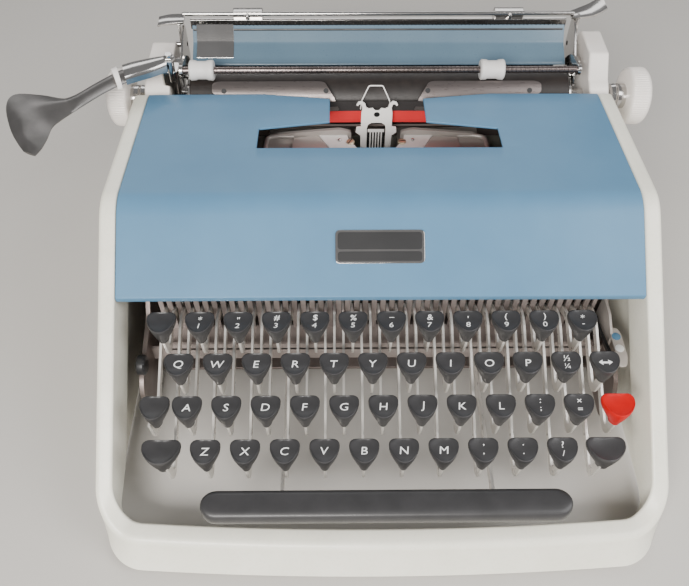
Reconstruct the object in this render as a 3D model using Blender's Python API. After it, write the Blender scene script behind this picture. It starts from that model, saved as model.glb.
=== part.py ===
"""Portable typewriter: an open-bottomed case, a lifting top cover, a sliding carriage with its
platen, and a keyboard of separate hinged key levers.

Lengths are written in millimetres and turned into metres when a mesh is made. X runs to the right,
Y to the rear and Z up. The design origin is the middle of the case's front edge on the table; a root
empty then moves the machine so that the middle of its bounding box's underside is the world origin.
"""
import math

import bmesh
import bpy
from mathutils import Vector

MM = 0.001
GAP = 0.4                      # air between neighbouring pieces
HINGE_GAP = 0.4                # air around a pin or a shaft

# Case
CASE_WIDTH = 280.0
CASE_REAR = 296.0              # y of the rear wall's outer face
CASE_BOTTOM = 3.0              # height of the skirt's lower edge
SKIN = 2.5                     # wall of the moulded case
RAIL_WIDTH = 8.5               # flat top of the side rails
LIP_DEPTH = 30.0               # how far the rails' inner lip hangs down
EDGE_CHAMFER = 1.5
FRONT_BOW = 5.5                # how far the front edge bulges at its middle
FRONT_LEAN = 7.4               # how far the front's foot stands out from its top edge
FRONT_TOP_Y = 7.0               # at the corners; the bow brings the middle forward
FRONT_TOP_Z = 20.5
FRONT_BAR_WIDTH = 10.5
FRONT_CORNER = 22.0            # plan radius of the front corners
REAR_CORNER = 10.0
RAIL_START_Y = 9.0
CREASE_Y = 143.1
CREASE_Z = 114.8
COVER_REAR_Y = 237.1
COVER_REAR_Z = 107.6
REAR_DECK_Z = 68.0             # the case is low behind the cover, so that the knobs pass over it
PAN_FRONT_Y = 112.0
PAN_THICKNESS = 2.0
FOOT_RADIUS = 7.0
FOOT_FRONT_X = 115.0
FOOT_FRONT_Y = 6.5
FOOT_REAR_X = 132.0
FOOT_REAR_Y = 276.0
FOOT_TOP = 6.0

# Top cover
COVER_SHEET = 1.5
COVER_FRONT_Y = 103.0
COVER_FLANGE = 8.0
OPENING_CENTRE = 1.3
OPENING_HALF = 66.0
OPENING_FRONT_Y = 185.0
OPENING_SIDE_Y = 203.0
NECK_HALF = 27.0
NECK_REAR_Y = 232.0             # the rear edge runs a little forward beside the neck
NECK_FRONT_Y = 209.3
COVER_OPENS = 75.0             # degrees

# Keyboard
PITCH = 19.05
FIRST_KEY_X = -90.2            # the key for 1
FRONT_ROW_Y = 38.3
FRONT_ROW_Z = 50.9             # top of the caps
ROW_RUN = 18.72
ROW_RISE = 9.11
KEY_TRAVEL = 11.0
CAP_WIDTH = PITCH - 4.45
CAP_DEPTH = 13.0
CAP_SKIRT = 5.0
CAP_TAPER = 4.0
LEVER_THICKNESS = 1.2
LEVER_HEIGHT = 4.6
LEVER_FRONT_Z = 22.0           # lever centre line under the front row
LEVER_SLOPE = 0.5              # the levers climb to the rear in front of the comb
LEVER_KNEE_Y = 112.0           # behind the comb they turn down and pass under the type basket
LEVER_BEND = (126.0, 50.0)
LEVER_HEEL = (134.0, 26.0)
SHAFT_Y = 215.0
SHAFT_Z = 18.5
SHAFT_RADIUS = 1.6
HOOK_RADIUS = 4.2
SHIFT_CAP_WIDTH = PITCH - 0.05
TAB_CAP_WIDTH = PITCH - 2.65
SHIFT_TUBE_Y = SHAFT_Y         # straight under the lever shaft
SHIFT_TUBE_Z = 7.6
SHIFT_TUBE_RADIUS = 1.2

# Space bar
SPACE_LENGTH = 174.4
SPACE_CENTRE_X = 0.8
SPACE_Y = 15.6
SPACE_DEPTH = 14.5
SPACE_TOP = 44.0
SPACE_HEIGHT = 9.0
SPACE_ARM_THICKNESS = 1.6
SPACE_ARM_Z = 24.0
SPACE_ARM_SLOTS = (13.5, 35.5) # quarter pitches from the shift lock, between the key levers
SPACE_TRAVEL = 8.5

# Frame inside the case
PLATE_X = 123.5                # inner face of the side plates
PLATE_THICKNESS = 2.5
PLATE_BOTTOM = 8.0
PLATE_FRONT_Y = 78.0
PLATE_STEP_Y = 135.0           # in front of this the plates fall away towards the keys
PLATE_SHOULDER_Z = 50.0
PLATE_NOSE_Z = 42.0
BOSS_PLACES = (150.0, 270.0)   # y of the bosses that stand off to the case's walls
BOSS_Z = 30.0
BOSS_RADIUS = 5.0
COMB_Y = 106.0
COMB_THICKNESS = 2.5
COMB_BOTTOM = 28.0
COMB_TOP = 68.0
COMB_EAR_TOP = 40.0            # the comb is low at its ends, under the ribbon selector
COMB_HALF = 117.5
COMB_SLOT = 2.4
COMB_SLOT_BOTTOM = 41.0
BEAM_Y = 262.0
BEAM_DEPTH = 24.5
BEAM_BOTTOM = 56.0
BEAM_TOP = 67.5
SPOOL_X = 86.0
SPOOL_Y = 165.0
SPOOL_RADIUS = 25.0
SPOOL_TOP = 86.0
SHELF_Z = 64.0
SHELF_THICKNESS = 2.0

# Printing point
PRINT_X = 2.0
GUIDE_OUTER = 67.0             # half width of the guide plates
GUIDE_INNER = 15.0
GUIDE_Z = 79.0
GUIDE_FRONT_Y = 207.0
CARD_GAP = 2.6                 # from the platen's rubber to the card plates
CARD_SHEET = 1.2
CARD_INNER = 22.5
CARD_OUTER = 97.5
CARD_LOW = 12.0                # degrees above the horizontal, seen from the platen's axis
CARD_HIGH = 62.0

# Type basket
SEGMENT_Y = 244.5              # centre of the segment's arc
SEGMENT_Z = 33.7
SEGMENT_INNER = 32.0
SEGMENT_OUTER = 43.0
TYPEBAR_REACH = 104.0
TYPEBAR_COUNT = 43
TYPEBAR_THICKNESS = 1.5
TYPEBAR_SPREAD = 78.0          # degrees either side of straight forward
TYPEBAR_RISE = 16.0            # degrees
BASKET_THICKNESS = 3.5
BASKET_DROP = 6.5

# Ribbon vibrator and selector
VIBRATOR_HALF = 9.5
VIBRATOR_Y = 232.4
VIBRATOR_BOTTOM = 66.0
VIBRATOR_TOP = 104.0
VIBRATOR_SHEET = 1.4
VIBRATOR_WINDOW = 5.6
SELECTOR_Y = 118.0
SELECTOR_Z = 45.0
SELECTOR_X = 120.0
SELECTOR_KNOB_Y = 88.0
SELECTOR_KNOB_Z = 53.0
SELECTOR_KNOB_RADIUS = 3.5
TOUCH_KNOB_Y = 88.0            # the touch knob at the left-hand side plate
TOUCH_KNOB_Z = 41.0
TOUCH_KNOB_RADIUS = 5.5
TOUCH_KNOB_WIDTH = 4.0

# Carriage: x values are counted from the carriage's own middle
CARRIAGE_X = 4.0
PLATEN_Y = 255.5
PLATEN_Z = 92.0
PLATEN_RADIUS = 16.5
PLATEN_HALF = 113.0
SPINDLE_RADIUS = 4.5
KNOB_RADIUS = PLATEN_RADIUS + 0.7
KNOB_INNER = 149.0
KNOB_OUTER = 165.0
COLLAR_RADIUS = 7.5
COLLAR_INNER = 143.0
CAP_INNER = 125.0
LEFT_CAP_OUTER = 140.0
RIGHT_CAP_OUTER = 137.0
CAP_NOSE = 15.5                # radius of the end caps around the spindle
TRUCK_Y = 272.0
TRUCK_DEPTH = 16.0
TRUCK_BOTTOM = 70.0
TRUCK_TOP = 78.0
CARRIAGE_REAR = 292.0
LEFT_CAP_TOP = 111.0
RIGHT_CAP_TOP = 118.0
CAP_SHOULDER_Y = 262.0
BRACKET_BOTTOM = 100.0         # the return lever's bracket
POST_BOTTOM = 108.0
TABLE_HALF = 114.0
TABLE_FOOT = (PLATEN_Y + PLATEN_RADIUS - 3.5, PLATEN_Z + PLATEN_RADIUS - 1.5)
TABLE_CREASE = (280.0, 113.0)
TABLE_TOP = (287.0, 122.0)
TABLE_SHEET = 1.5
WEB_Y = 284.5
WEB_THICKNESS = 3.0
PAN_RADIUS = PLATEN_RADIUS + 1.9
PAN_SHEET = 1.2
SILL_GAP = 0.55                # from the platen's rubber to the sill that joins the pan to the truck
SCALE_HALF = 114.5
SCALE_Z = 119.0
SCALE_HEIGHT = 6.0
STOP_WIDTH = 18.0
STOP_X = 79.5
STOP_SPAN_Y = (288.5, 296.0)
STOP_SPAN_Z = (118.0, 129.0)

# Paper bail
BAIL_Y = 250.0
BAIL_Z = PLATEN_Z + PLATEN_RADIUS + 6.5
BAIL_PIVOT_Y = 274.0
BAIL_PIVOT_Z = 104.0
BAIL_RADIUS = 2.0
BAIL_ARM_X = 116.7
BAIL_ARM_THICKNESS = 1.6
BAIL_ROLLER_RADIUS = 5.9
BAIL_ROLLER_LENGTH = 14.0
BAIL_ROLLERS = (-104.5, 65.5)
PIN_RADIUS = 2.0
PIN_REACH = 6.0

# Return lever
LEVER_PIVOT_X = -122.5
LEVER_PIVOT_Y = 250.0
POST_RADIUS = 2.4
POST_TOP = 126.0
HUB_RADIUS = 4.5
RETURN_BLADE_Z = 118.0
RETURN_BLADE_THICKNESS = 3.0
PADDLE_TILT = 14.0             # degrees
RETURN_ARM_WIDTH = 12.5
RETURN_EDGES = (               # rear and front edge of the blade, counted from its pivot
    ((-1.0, 4.0), (-1.0, -4.0)),
    ((-11.5, 2.0), (-9.5, -9.5)),
    ((-26.5, -4.5), (-22.5, -16.5)),
    ((-39.5, -18.0), (-33.5, -26.5)),
    ((-51.5, -30.5), (-44.5, -40.0)),
    ((-66.5, -29.5), (-51.5, -49.5)),
    ((-81.0, -31.5), (-55.0, -56.0)),
    ((-82.5, -43.0), (-55.5, -65.0)),
    ((-74.5, -62.0), (-56.5, -73.0)),
    ((-65.5, -75.0), (-58.5, -78.5)),
)

# Release levers behind the paper table
RELEASE_Y = 286.0
RELEASE_Z = 88.0
RELEASE_THICKNESS = 1.5
RELEASE_X = 122.0              # centre of the levers' plates

HALF_WIDTH = CASE_WIDTH / 2
SLOPE = (CREASE_Z - FRONT_TOP_Z) / (CREASE_Y - RAIL_START_Y)
COVER_HALF = HALF_WIDTH - RAIL_WIDTH - GAP


# ---------------------------------------------------------------- scene and materials

def clear_scene():
    for item in list(bpy.data.objects):
        bpy.data.objects.remove(item)


def make_material(name, colour, roughness, metallic):
    material = bpy.data.materials.new(name)
    material.use_nodes = True
    shader = material.node_tree.nodes["Principled BSDF"]
    shader.inputs["Base Color"].default_value = (*colour, 1.0)
    shader.inputs["Roughness"].default_value = roughness
    shader.inputs["Metallic"].default_value = metallic
    return material


FINISHES = {
    "case": ((0.66, 0.68, 0.60), 0.45, 0.0),
    "cover": ((0.25, 0.37, 0.47), 0.35, 0.0),
    "frame": ((0.20, 0.19, 0.18), 0.45, 0.9),
    "carriage": ((0.55, 0.56, 0.55), 0.35, 0.6),
    "rubber": ((0.03, 0.03, 0.03), 0.6, 0.0),
    "key": ((0.06, 0.07, 0.09), 0.4, 0.0),
    "red_key": ((0.70, 0.02, 0.03), 0.35, 0.0),
    "chrome": ((0.75, 0.74, 0.72), 0.2, 1.0),
    "steel": ((0.50, 0.48, 0.45), 0.35, 1.0),
}


# ---------------------------------------------------------------- mesh helpers

def new_object(name, mesh, finish, origin=(0.0, 0.0, 0.0)):
    """Link an object whose mesh is written from its own origin; both are in millimetres."""
    item = bpy.data.objects.new(name, mesh)
    bpy.context.scene.collection.objects.link(item)
    item.location = Vector(origin) * MM
    item.parent = ROOT
    if not mesh.materials:
        mesh.materials.append(make_material(name, *FINISHES[finish]))
    return item


def mesh_from(name, points, faces, origin=(0.0, 0.0, 0.0)):
    """Build a mesh from points in millimetres, with all its faces turned outward."""
    mesh = bpy.data.meshes.new(name)
    start = Vector(origin)
    mesh.from_pydata([(Vector(point) - start) * MM for point in points], [], faces)
    work = bmesh.new()
    work.from_mesh(mesh)
    bmesh.ops.recalc_face_normals(work, faces=work.faces)
    work.to_mesh(mesh)
    work.free()
    return mesh


def prism(outline, axis, low, high):
    """Extrude a closed outline, given in the two other axes, along the axis."""
    def place(pair, along):
        point = list(pair)
        point.insert("XYZ".index(axis), along)
        return point
    count = len(outline)
    points = [place(pair, low) for pair in outline] + [place(pair, high) for pair in outline]
    faces = [list(range(count)), list(range(2 * count - 1, count - 1, -1))]
    for i in range(count):
        j = (i + 1) % count
        faces.append([i, j, count + j, count + i])
    return points, faces


def block(x0, x1, y0, y1, z0, z1):
    return prism([(x0, y0), (x1, y0), (x1, y1), (x0, y1)], "Z", z0, z1)


def circle(centre, radius, sides):
    return [(centre[0] + radius * math.cos(2 * math.pi * i / sides),
             centre[1] + radius * math.sin(2 * math.pi * i / sides)) for i in range(sides)]


def cylinder(axis, centre, radius, low, high, sides=16):
    """A round bar along the axis; centre gives its place in the two other axes."""
    return prism(circle(centre, radius, sides), axis, low, high)


def arc(centre, radius, start, stop, steps):
    """Points along an arc; the angles are in degrees."""
    angles = [math.radians(start + (stop - start) * i / steps) for i in range(steps + 1)]
    return [(centre[0] + radius * math.cos(a), centre[1] + radius * math.sin(a)) for a in angles]


def loft(rings):
    """Join rings of equally many points into one closed body with flat ends."""
    count = len(rings[0])
    points = [point for ring in rings for point in ring]
    faces = [list(range(count)), list(range(len(points) - 1, len(points) - count - 1, -1))]
    for level in range(len(rings) - 1):
        for i in range(count):
            j = (i + 1) % count
            low = level * count
            faces.append([low + i, low + j, low + count + j, low + count + i])
    return points, faces


def solid(name, finish, adds, cuts=(), origin=(0.0, 0.0, 0.0)):
    """One object from overlapping shapes joined together, less the shapes cut from them."""
    base = new_object(name, mesh_from(name, *adds[0], origin=origin), finish, origin)
    tools = []
    for operation, shapes in (("UNION", adds[1:]), ("DIFFERENCE", cuts)):
        for shape in shapes:
            mesh = mesh_from(name + "_tool", *shape, origin=origin)
            tool = bpy.data.objects.new(name + "_tool", mesh)
            bpy.context.scene.collection.objects.link(tool)
            tool.location = base.location
            tool.parent = ROOT
            modifier = base.modifiers.new(operation.title(), "BOOLEAN")
            modifier.operation = operation
            modifier.solver = "EXACT"
            modifier.object = tool
            tools.append(tool)
    bpy.context.view_layer.update()
    joined = bpy.data.meshes.new_from_object(base.evaluated_get(bpy.context.evaluated_depsgraph_get()))
    base.modifiers.clear()
    base.data = joined
    for tool in tools:
        bpy.data.objects.remove(tool)
    return base


# ---------------------------------------------------------------- case

def rail_height(y):
    """Height of the case's upper edge at a distance y from the front."""
    if y <= RAIL_START_Y:
        return FRONT_TOP_Z
    if y <= CREASE_Y:
        return FRONT_TOP_Z + SLOPE * (y - RAIL_START_Y)
    if y <= COVER_REAR_Y + GAP:
        return CREASE_Z + (COVER_REAR_Z - CREASE_Z) * (y - CREASE_Y) / (COVER_REAR_Y - CREASE_Y)
    return REAR_DECK_Z


def case_stations():
    """Stops around the case's plan: the place of its upper outer edge and the way inward."""
    stops = []
    side_ys = [COVER_REAR_Y + 2 * GAP, COVER_REAR_Y + GAP, 190.0, 146.5, CREASE_Y, 139.5, 90.0, 45.0]
    front_centre = FRONT_TOP_Y + FRONT_CORNER
    rear_centre = CASE_REAR - REAR_CORNER

    def corner(side, y, radius, start, stop, steps):
        middle = (side * (HALF_WIDTH - radius), y)
        for x, y_at in arc(middle, radius, start, stop, steps):
            inward = Vector((middle[0] - x, middle[1] - y_at)).normalized()
            stops.append((x, y_at, inward))

    corner(-1, rear_centre, REAR_CORNER, 90, 180, 4)
    stops.extend((-HALF_WIDTH, y, Vector((1, 0))) for y in side_ys)
    corner(-1, front_centre, FRONT_CORNER, 180, 270, 7)
    half_front = HALF_WIDTH - FRONT_CORNER
    for i in range(1, 8):
        stops.append((-half_front + 2 * half_front * i / 8, FRONT_TOP_Y, Vector((0, 1))))
    corner(1, front_centre, FRONT_CORNER, 270, 360, 7)
    stops.extend((HALF_WIDTH, y, Vector((-1, 0))) for y in reversed(side_ys))
    corner(1, rear_centre, REAR_CORNER, 0, 90, 4)
    return stops


def build_case():
    """A hooked wall section carried round the plan, a bottom pan under the mechanism, and four feet."""
    rings = []
    for x, y, inward in case_stations():
        facing_front = max(0.0, inward.y) ** 2
        top = rail_height(y)
        width = RAIL_WIDTH + (FRONT_BAR_WIDTH - RAIL_WIDTH) * facing_front
        lean = FRONT_LEAN * facing_front
        bow = FRONT_BOW * facing_front * (1 - (x / HALF_WIDTH) ** 2)
        lip = max(top - LIP_DEPTH, CASE_BOTTOM + (top - CASE_BOTTOM) * 0.35)
        section = [
            (-lean, CASE_BOTTOM),
            (0.0, top - EDGE_CHAMFER),
            (EDGE_CHAMFER, top),
            (width, top),
            (width, lip),
            (width - SKIN, lip),
            (width - SKIN, top - SKIN),
            (SKIN, top - SKIN),
            (SKIN - lean, CASE_BOTTOM),
        ]
        rings.append([(x + inward.x * (depth - bow), y + inward.y * (depth - bow), z)
                      for depth, z in section])
    points, faces = loft(rings)
    count = len(rings[0])
    last = len(points) - count
    faces = faces[2:]
    for i in range(count):
        j = (i + 1) % count
        faces.append([last + i, last + j, j, i])
    pan_half = HALF_WIDTH - SKIN / 2
    pan = block(-pan_half, pan_half, PAN_FRONT_Y, CASE_REAR - SKIN / 2,
                CASE_BOTTOM + 0.5, CASE_BOTTOM + 0.5 + PAN_THICKNESS)
    feet = [cylinder("Z", (side * x, y), FOOT_RADIUS, 0.0, FOOT_TOP, 20)
            for side in (-1, 1) for x, y in ((FOOT_FRONT_X, FOOT_FRONT_Y), (FOOT_REAR_X, FOOT_REAR_Y))]
    return solid("case", "case", [(points, faces), pan] + feet)


# ---------------------------------------------------------------- top cover

def cover_profile():
    """The cover's outer line from its front edge over the crease to its rear edge."""
    front_z = rail_height(COVER_FRONT_Y)
    bend = 6.0
    before = CREASE_Y - bend
    after = CREASE_Y + bend
    return [
        (COVER_FRONT_Y, front_z),
        (before, rail_height(before)),
        (CREASE_Y, CREASE_Z - 0.6),
        (after, rail_height(after)),
        (OPENING_FRONT_Y, rail_height(OPENING_FRONT_Y)),
        (OPENING_SIDE_Y, rail_height(OPENING_SIDE_Y)),
        (COVER_REAR_Y, COVER_REAR_Z),
    ]


def build_cover():
    """A folded sheet with side flanges and the opening over the type basket."""
    columns = [-COVER_HALF, -COVER_HALF, -OPENING_HALF, -NECK_HALF, NECK_HALF, OPENING_HALF,
               COVER_HALF, COVER_HALF]
    profile = cover_profile()
    points = []
    for index, column in enumerate(columns):
        flange = COVER_FLANGE if index in (0, len(columns) - 1) else 0.0
        inside = 1 < index < len(columns) - 2
        for y, z in profile:
            at = y
            if abs(column) == NECK_HALF:
                at = {OPENING_SIDE_Y: NECK_FRONT_Y, COVER_REAR_Y: NECK_REAR_Y}.get(y, y)
            x = column + (OPENING_CENTRE if inside else 0.0)
            points.append((x, at, rail_height(at) - flange if at != y else z - flange))
    rows = len(profile)
    opening_row = [y for y, _ in profile].index(OPENING_FRONT_Y)
    faces = []
    for i in range(len(columns) - 1):
        for j in range(rows - 1):
            wide = 2 <= i <= 4 and j == opening_row
            neck = i == 3 and j == opening_row + 1
            if not (wide or neck):
                start = i * rows + j
                faces.append([start, start + 1, start + rows + 1, start + rows])
    hinge = (0.0, COVER_FRONT_Y + COVER_SHEET, rail_height(COVER_FRONT_Y) - COVER_SHEET)
    cover = new_object("top_cover", mesh_from("top_cover", points, faces, hinge), "cover", hinge)
    wall = cover.modifiers.new("Sheet", "SOLIDIFY")
    wall.thickness = COVER_SHEET * MM
    wall.offset = -1.0
    wall.use_even_offset = True
    return cover


# ---------------------------------------------------------------- keys

def cap_outline(width, depth):
    """A shield: a straight rear edge with round corners and a round front."""
    half = width / 2
    corner = 3.0
    shoulder = depth * 0.18
    rear = depth / 2
    right = arc((half - corner, rear - corner), corner, 90, 0, 2)
    front = [(half * math.cos(a), shoulder - (shoulder + rear) * math.sin(a))
             for a in (math.pi * i / 7 for i in range(1, 7))]
    left = arc((corner - half, rear - corner), corner, 180, 90, 2)
    return right + front + left


def cap_shape(x, y, top, width=CAP_WIDTH, depth=CAP_DEPTH):
    outline = cap_outline(width, depth)
    levels = ((0.0, 0.93), (CAP_SKIRT * 0.3, 1.0), (CAP_SKIRT, 0.96), (CAP_SKIRT + CAP_TAPER, 0.5))
    return loft([[(x + px * size, y + py * size, top - drop) for px, py in outline]
                 for drop, size in levels])


def lever_height(y):
    """Height of the key levers' centre line in front of their knee."""
    return LEVER_FRONT_Z + LEVER_SLOPE * (y - FRONT_ROW_Y)


def strip_sides(path, width):
    """The two edges of a strip of one width along a path, mitred where the path bends."""
    left = []
    right = []
    for i, point in enumerate(path):
        here = Vector(point)
        back = (here - Vector(path[i - 1])).normalized() if i else None
        ahead = (Vector(path[i + 1]) - here).normalized() if i < len(path) - 1 else None
        along = ((back or ahead) + (ahead or back)).normalized()
        across = Vector((-along.y, along.x))
        reach = width / 2 / along.dot(ahead or back)
        left.append(tuple(here + across * reach))
        right.append(tuple(here - across * reach))
    return left, right


def lever_shape(x, path, thickness=LEVER_THICKNESS):
    """A flat strip along a path in the YZ plane, whose rear end hooks over the lever shaft."""
    eye = SHAFT_RADIUS + HINGE_GAP
    low = SHAFT_Z - HOOK_RADIUS
    lower, upper = strip_sides(path + [(SHAFT_Y - HOOK_RADIUS, SHAFT_Z)], LEVER_HEIGHT)
    if lower[-1][1] > upper[-1][1]:
        lower, upper = upper, lower
    outline = lower[:-1] + [(SHAFT_Y - HOOK_RADIUS, lower[-1][1]), (SHAFT_Y - HOOK_RADIUS, low)]
    outline += [(SHAFT_Y - eye, low)]
    outline += arc((SHAFT_Y, SHAFT_Z), eye, 180, 0, 4)
    outline += [(SHAFT_Y + eye, low), (SHAFT_Y + HOOK_RADIUS, low)]
    outline += arc((SHAFT_Y, SHAFT_Z), HOOK_RADIUS, 0, 120, 3)
    outline += list(reversed(upper[:-1]))
    return prism(outline, "X", x - thickness / 2, x + thickness / 2)


def key_path(y, stem_top):
    """From the cap down its stem, back to the knee, down behind the comb and on to the shaft."""
    return [(y, stem_top), (y, lever_height(y)), (LEVER_KNEE_Y, lever_height(LEVER_KNEE_Y)),
            LEVER_BEND, LEVER_HEEL]


def row_place(row):
    """Rear-to-front place and cap height of a key row; row 0 is the front one."""
    return FRONT_ROW_Y + ROW_RUN * row, FRONT_ROW_Z + ROW_RISE * row


ROWS = {
    3: (0.0, ["1", "2", "3", "4", "5", "6", "7", "8", "9", "0", "minus"]),
    2: (-PITCH / 2, list("qwertyuiop") + ["fraction"]),
    1: (-PITCH / 4, list("asdfghjkl") + ["semicolon", "equals"]),
    0: (PITCH / 4, list("zxcvbnm") + ["comma", "period", "slash"]),
}


def key_x(row, column):
    return FIRST_KEY_X + ROWS[row][0] + PITCH * column


def single_key(name, row, x, finish="key", width=CAP_WIDTH):
    """A key that shares no mesh: cap, stem and lever in one."""
    y, top = row_place(row)
    shapes = [cap_shape(x, y, top, width), lever_shape(x, key_path(y, top - CAP_SKIRT))]
    return solid(name, finish, shapes, origin=(x, SHAFT_Y, SHAFT_Z))


def build_character_keys():
    """The keys of a row have one mesh; each is placed on the lever shaft at its own x."""
    for row, (_, names) in ROWS.items():
        first = single_key("key_" + names[0], row, key_x(row, 0))
        for column, name in enumerate(names[1:], start=1):
            place = (key_x(row, column), SHAFT_Y, SHAFT_Z)
            new_object("key_" + name, first.data, "key", place)


def build_function_keys():
    single_key("margin_release_key", 3, key_x(3, -1))
    single_key("backspace_key", 2, key_x(2, 11))
    single_key("tab_key", 1, key_x(1, 11), "red_key", TAB_CAP_WIDTH)


def build_shift_keys():
    """Left shift, right shift and shift lock on one cross tube under the other levers."""
    places = [(1, key_x(1, -1), 3.4, CAP_WIDTH), (0, key_x(0, -1), -2.0, SHIFT_CAP_WIDTH),
              (0, key_x(0, 10), 1.9, SHIFT_CAP_WIDTH)]
    shapes = []
    for row, x, offset, width in places:
        y, top = row_place(row)
        shapes.append(lever_shape(x, key_path(y, top - CAP_SKIRT)))
        shapes.append(cap_shape(x + offset, y, top, width))
        half = LEVER_THICKNESS / 2 - 0.1
        shapes.append(block(x - half, x + half, SHAFT_Y + SHAFT_RADIUS + 1, SHAFT_Y + HOOK_RADIUS - 0.2,
                            SHIFT_TUBE_Z - 0.5, SHAFT_Z - 1))
        shapes.append(block(x - half, x + half, SHIFT_TUBE_Y - 0.8, SHAFT_Y + HOOK_RADIUS - 0.2,
                            SHIFT_TUBE_Z - 0.6, SHIFT_TUBE_Z + 0.6))
    left = min(x for _, x, _, _ in places) - 1.0
    right = max(x for _, x, _, _ in places) + 1.0
    shapes.append(cylinder("X", (SHIFT_TUBE_Y, SHIFT_TUBE_Z), SHIFT_TUBE_RADIUS, left, right, 8))
    return solid("shift_keys", "key", [shapes[-1]] + shapes[:-1], origin=(0.0, SHAFT_Y, SHAFT_Z))


def build_space_bar():
    """A long crowned bar on two arms that reach back to the lever shaft between the key levers."""
    half = SPACE_LENGTH / 2
    depth = SPACE_DEPTH / 2
    radius = depth - 1.0

    def ring(size, z):
        right = arc((half - radius, 0.0), radius, -90, 90, 6)
        left = arc((radius - half, 0.0), radius, 90, 270, 6)
        return [(SPACE_CENTRE_X + x, SPACE_Y + y * size * depth / radius, z) for x, y in right + left]

    bar = loft([ring(0.86, SPACE_TOP - SPACE_HEIGHT), ring(1.0, SPACE_TOP - SPACE_HEIGHT * 0.45),
                ring(0.9, SPACE_TOP - 1.2), ring(0.5, SPACE_TOP)])
    shapes = [bar]
    for slot in SPACE_ARM_SLOTS:
        x = key_x(1, -1) + slot * PITCH / 4
        path = [(SPACE_Y, SPACE_TOP - SPACE_HEIGHT * 0.6), (SPACE_Y, SPACE_ARM_Z)]
        shapes.append(lever_shape(x, path, SPACE_ARM_THICKNESS))
    return solid("space_bar", "key", shapes, origin=(SPACE_CENTRE_X, SHAFT_Y, SHAFT_Z))


# ---------------------------------------------------------------- frame

def side_plate(side):
    rear = BEAM_Y + BEAM_DEPTH - 1
    outline = [(PLATE_FRONT_Y, PLATE_BOTTOM), (rear, PLATE_BOTTOM), (rear, BEAM_TOP - 1),
               (PLATE_STEP_Y, BEAM_TOP - 1), (SELECTOR_Y, PLATE_SHOULDER_Z), (PLATE_FRONT_Y + 6, PLATE_NOSE_Z),
               (PLATE_FRONT_Y, PLATE_NOSE_Z - 8)]
    inner = side * PLATE_X
    outer = side * (PLATE_X + PLATE_THICKNESS)
    return prism(outline, "X", min(inner, outer), max(inner, outer))


def card_plate(low_x, high_x):
    """A curved plate that holds a card against the platen."""
    inner = PLATEN_RADIUS + CARD_GAP
    centre = (PLATEN_Y, PLATEN_Z)
    outline = arc(centre, inner, 180 - CARD_LOW, 180 - CARD_HIGH, 5)
    outline += arc(centre, inner + CARD_SHEET, 180 - CARD_HIGH, 180 - CARD_LOW, 5)
    return prism(outline, "X", low_x, high_x)


def comb_plate():
    """The upright plate with a guide slot for each key lever."""
    outline = [(-PLATE_X - 1, COMB_BOTTOM), (PLATE_X + 1, COMB_BOTTOM), (PLATE_X + 1, COMB_EAR_TOP),
               (COMB_HALF, COMB_EAR_TOP), (COMB_HALF, COMB_TOP)]
    places = [key_x(row, column) for row in ROWS for column in range(-1, 12)]
    for x in sorted((x for x in places if abs(x) < COMB_HALF - COMB_SLOT / 2), reverse=True):
        outline += [(x + COMB_SLOT / 2, COMB_TOP), (x + COMB_SLOT / 2, COMB_SLOT_BOTTOM),
                    (x - COMB_SLOT / 2, COMB_SLOT_BOTTOM), (x - COMB_SLOT / 2, COMB_TOP)]
    outline += [(-COMB_HALF, COMB_TOP), (-COMB_HALF, COMB_EAR_TOP), (-PLATE_X - 1, COMB_EAR_TOP)]
    return prism(outline, "Y", COMB_Y, COMB_Y + COMB_THICKNESS)


def build_frame():
    """Side plates, cross members, carriage beam, spool shelves and the plates at the printing point."""
    shapes = [block(-PLATE_X - 1, PLATE_X + 1, BEAM_Y, BEAM_Y + BEAM_DEPTH, BEAM_BOTTOM, BEAM_TOP)]
    for side in (-1, 1):
        shapes.append(side_plate(side))
        for y in BOSS_PLACES:
            reach = side * (HALF_WIDTH - SKIN - GAP)
            inner = side * (PLATE_X + 1)
            shapes.append(cylinder("X", (y, BOSS_Z), BOSS_RADIUS, min(inner, reach), max(inner, reach), 12))
        shelf = sorted((side * (PLATE_X + 1), side * (SPOOL_X - SPOOL_RADIUS)))
        shapes.append(block(*shelf, SPOOL_Y - 22, SPOOL_Y + 22, SHELF_Z, SHELF_Z + SHELF_THICKNESS))
        shapes.append(cylinder("Z", (side * SPOOL_X, SPOOL_Y), SPOOL_RADIUS, SHELF_Z + 1, SPOOL_TOP, 24))
        outer = PRINT_X + side * GUIDE_OUTER
        inner = PRINT_X + side * GUIDE_INNER
        low, high = min(outer, inner), max(outer, inner)
        riser_y = PLATEN_Y - PLATEN_RADIUS - CARD_GAP - CARD_SHEET - 1.2
        shapes.append(block(low, high, riser_y - 1, BEAM_Y + 2, BEAM_BOTTOM + 4, BEAM_BOTTOM + 8))
        shapes.append(block(low, high, riser_y, riser_y + 2.0, BEAM_BOTTOM + 5, PLATEN_Z + 6))
        shapes.append(block(low + 0.5, high - 0.5, GUIDE_FRONT_Y, riser_y + 1, GUIDE_Z - 1.5, GUIDE_Z))
        card = sorted((PRINT_X + side * CARD_INNER, PRINT_X + side * CARD_OUTER))
        shapes.append(card_plate(*card))
    shapes.append(comb_plate())
    shapes.append(cylinder("X", (SHAFT_Y, SHAFT_Z), SHAFT_RADIUS, -PLATE_X - 1, PLATE_X + 1, 12))
    pin = cylinder("X", (SELECTOR_Y, SELECTOR_Z), PIN_RADIUS, SELECTOR_X - 1, PLATE_X + 1, 12)
    knob = cylinder("X", (TOUCH_KNOB_Y, TOUCH_KNOB_Z), TOUCH_KNOB_RADIUS,
                    -PLATE_X - 1, -PLATE_X - 1 + TOUCH_KNOB_WIDTH, 16)
    return solid("frame", "frame", shapes + [pin, knob])


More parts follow.
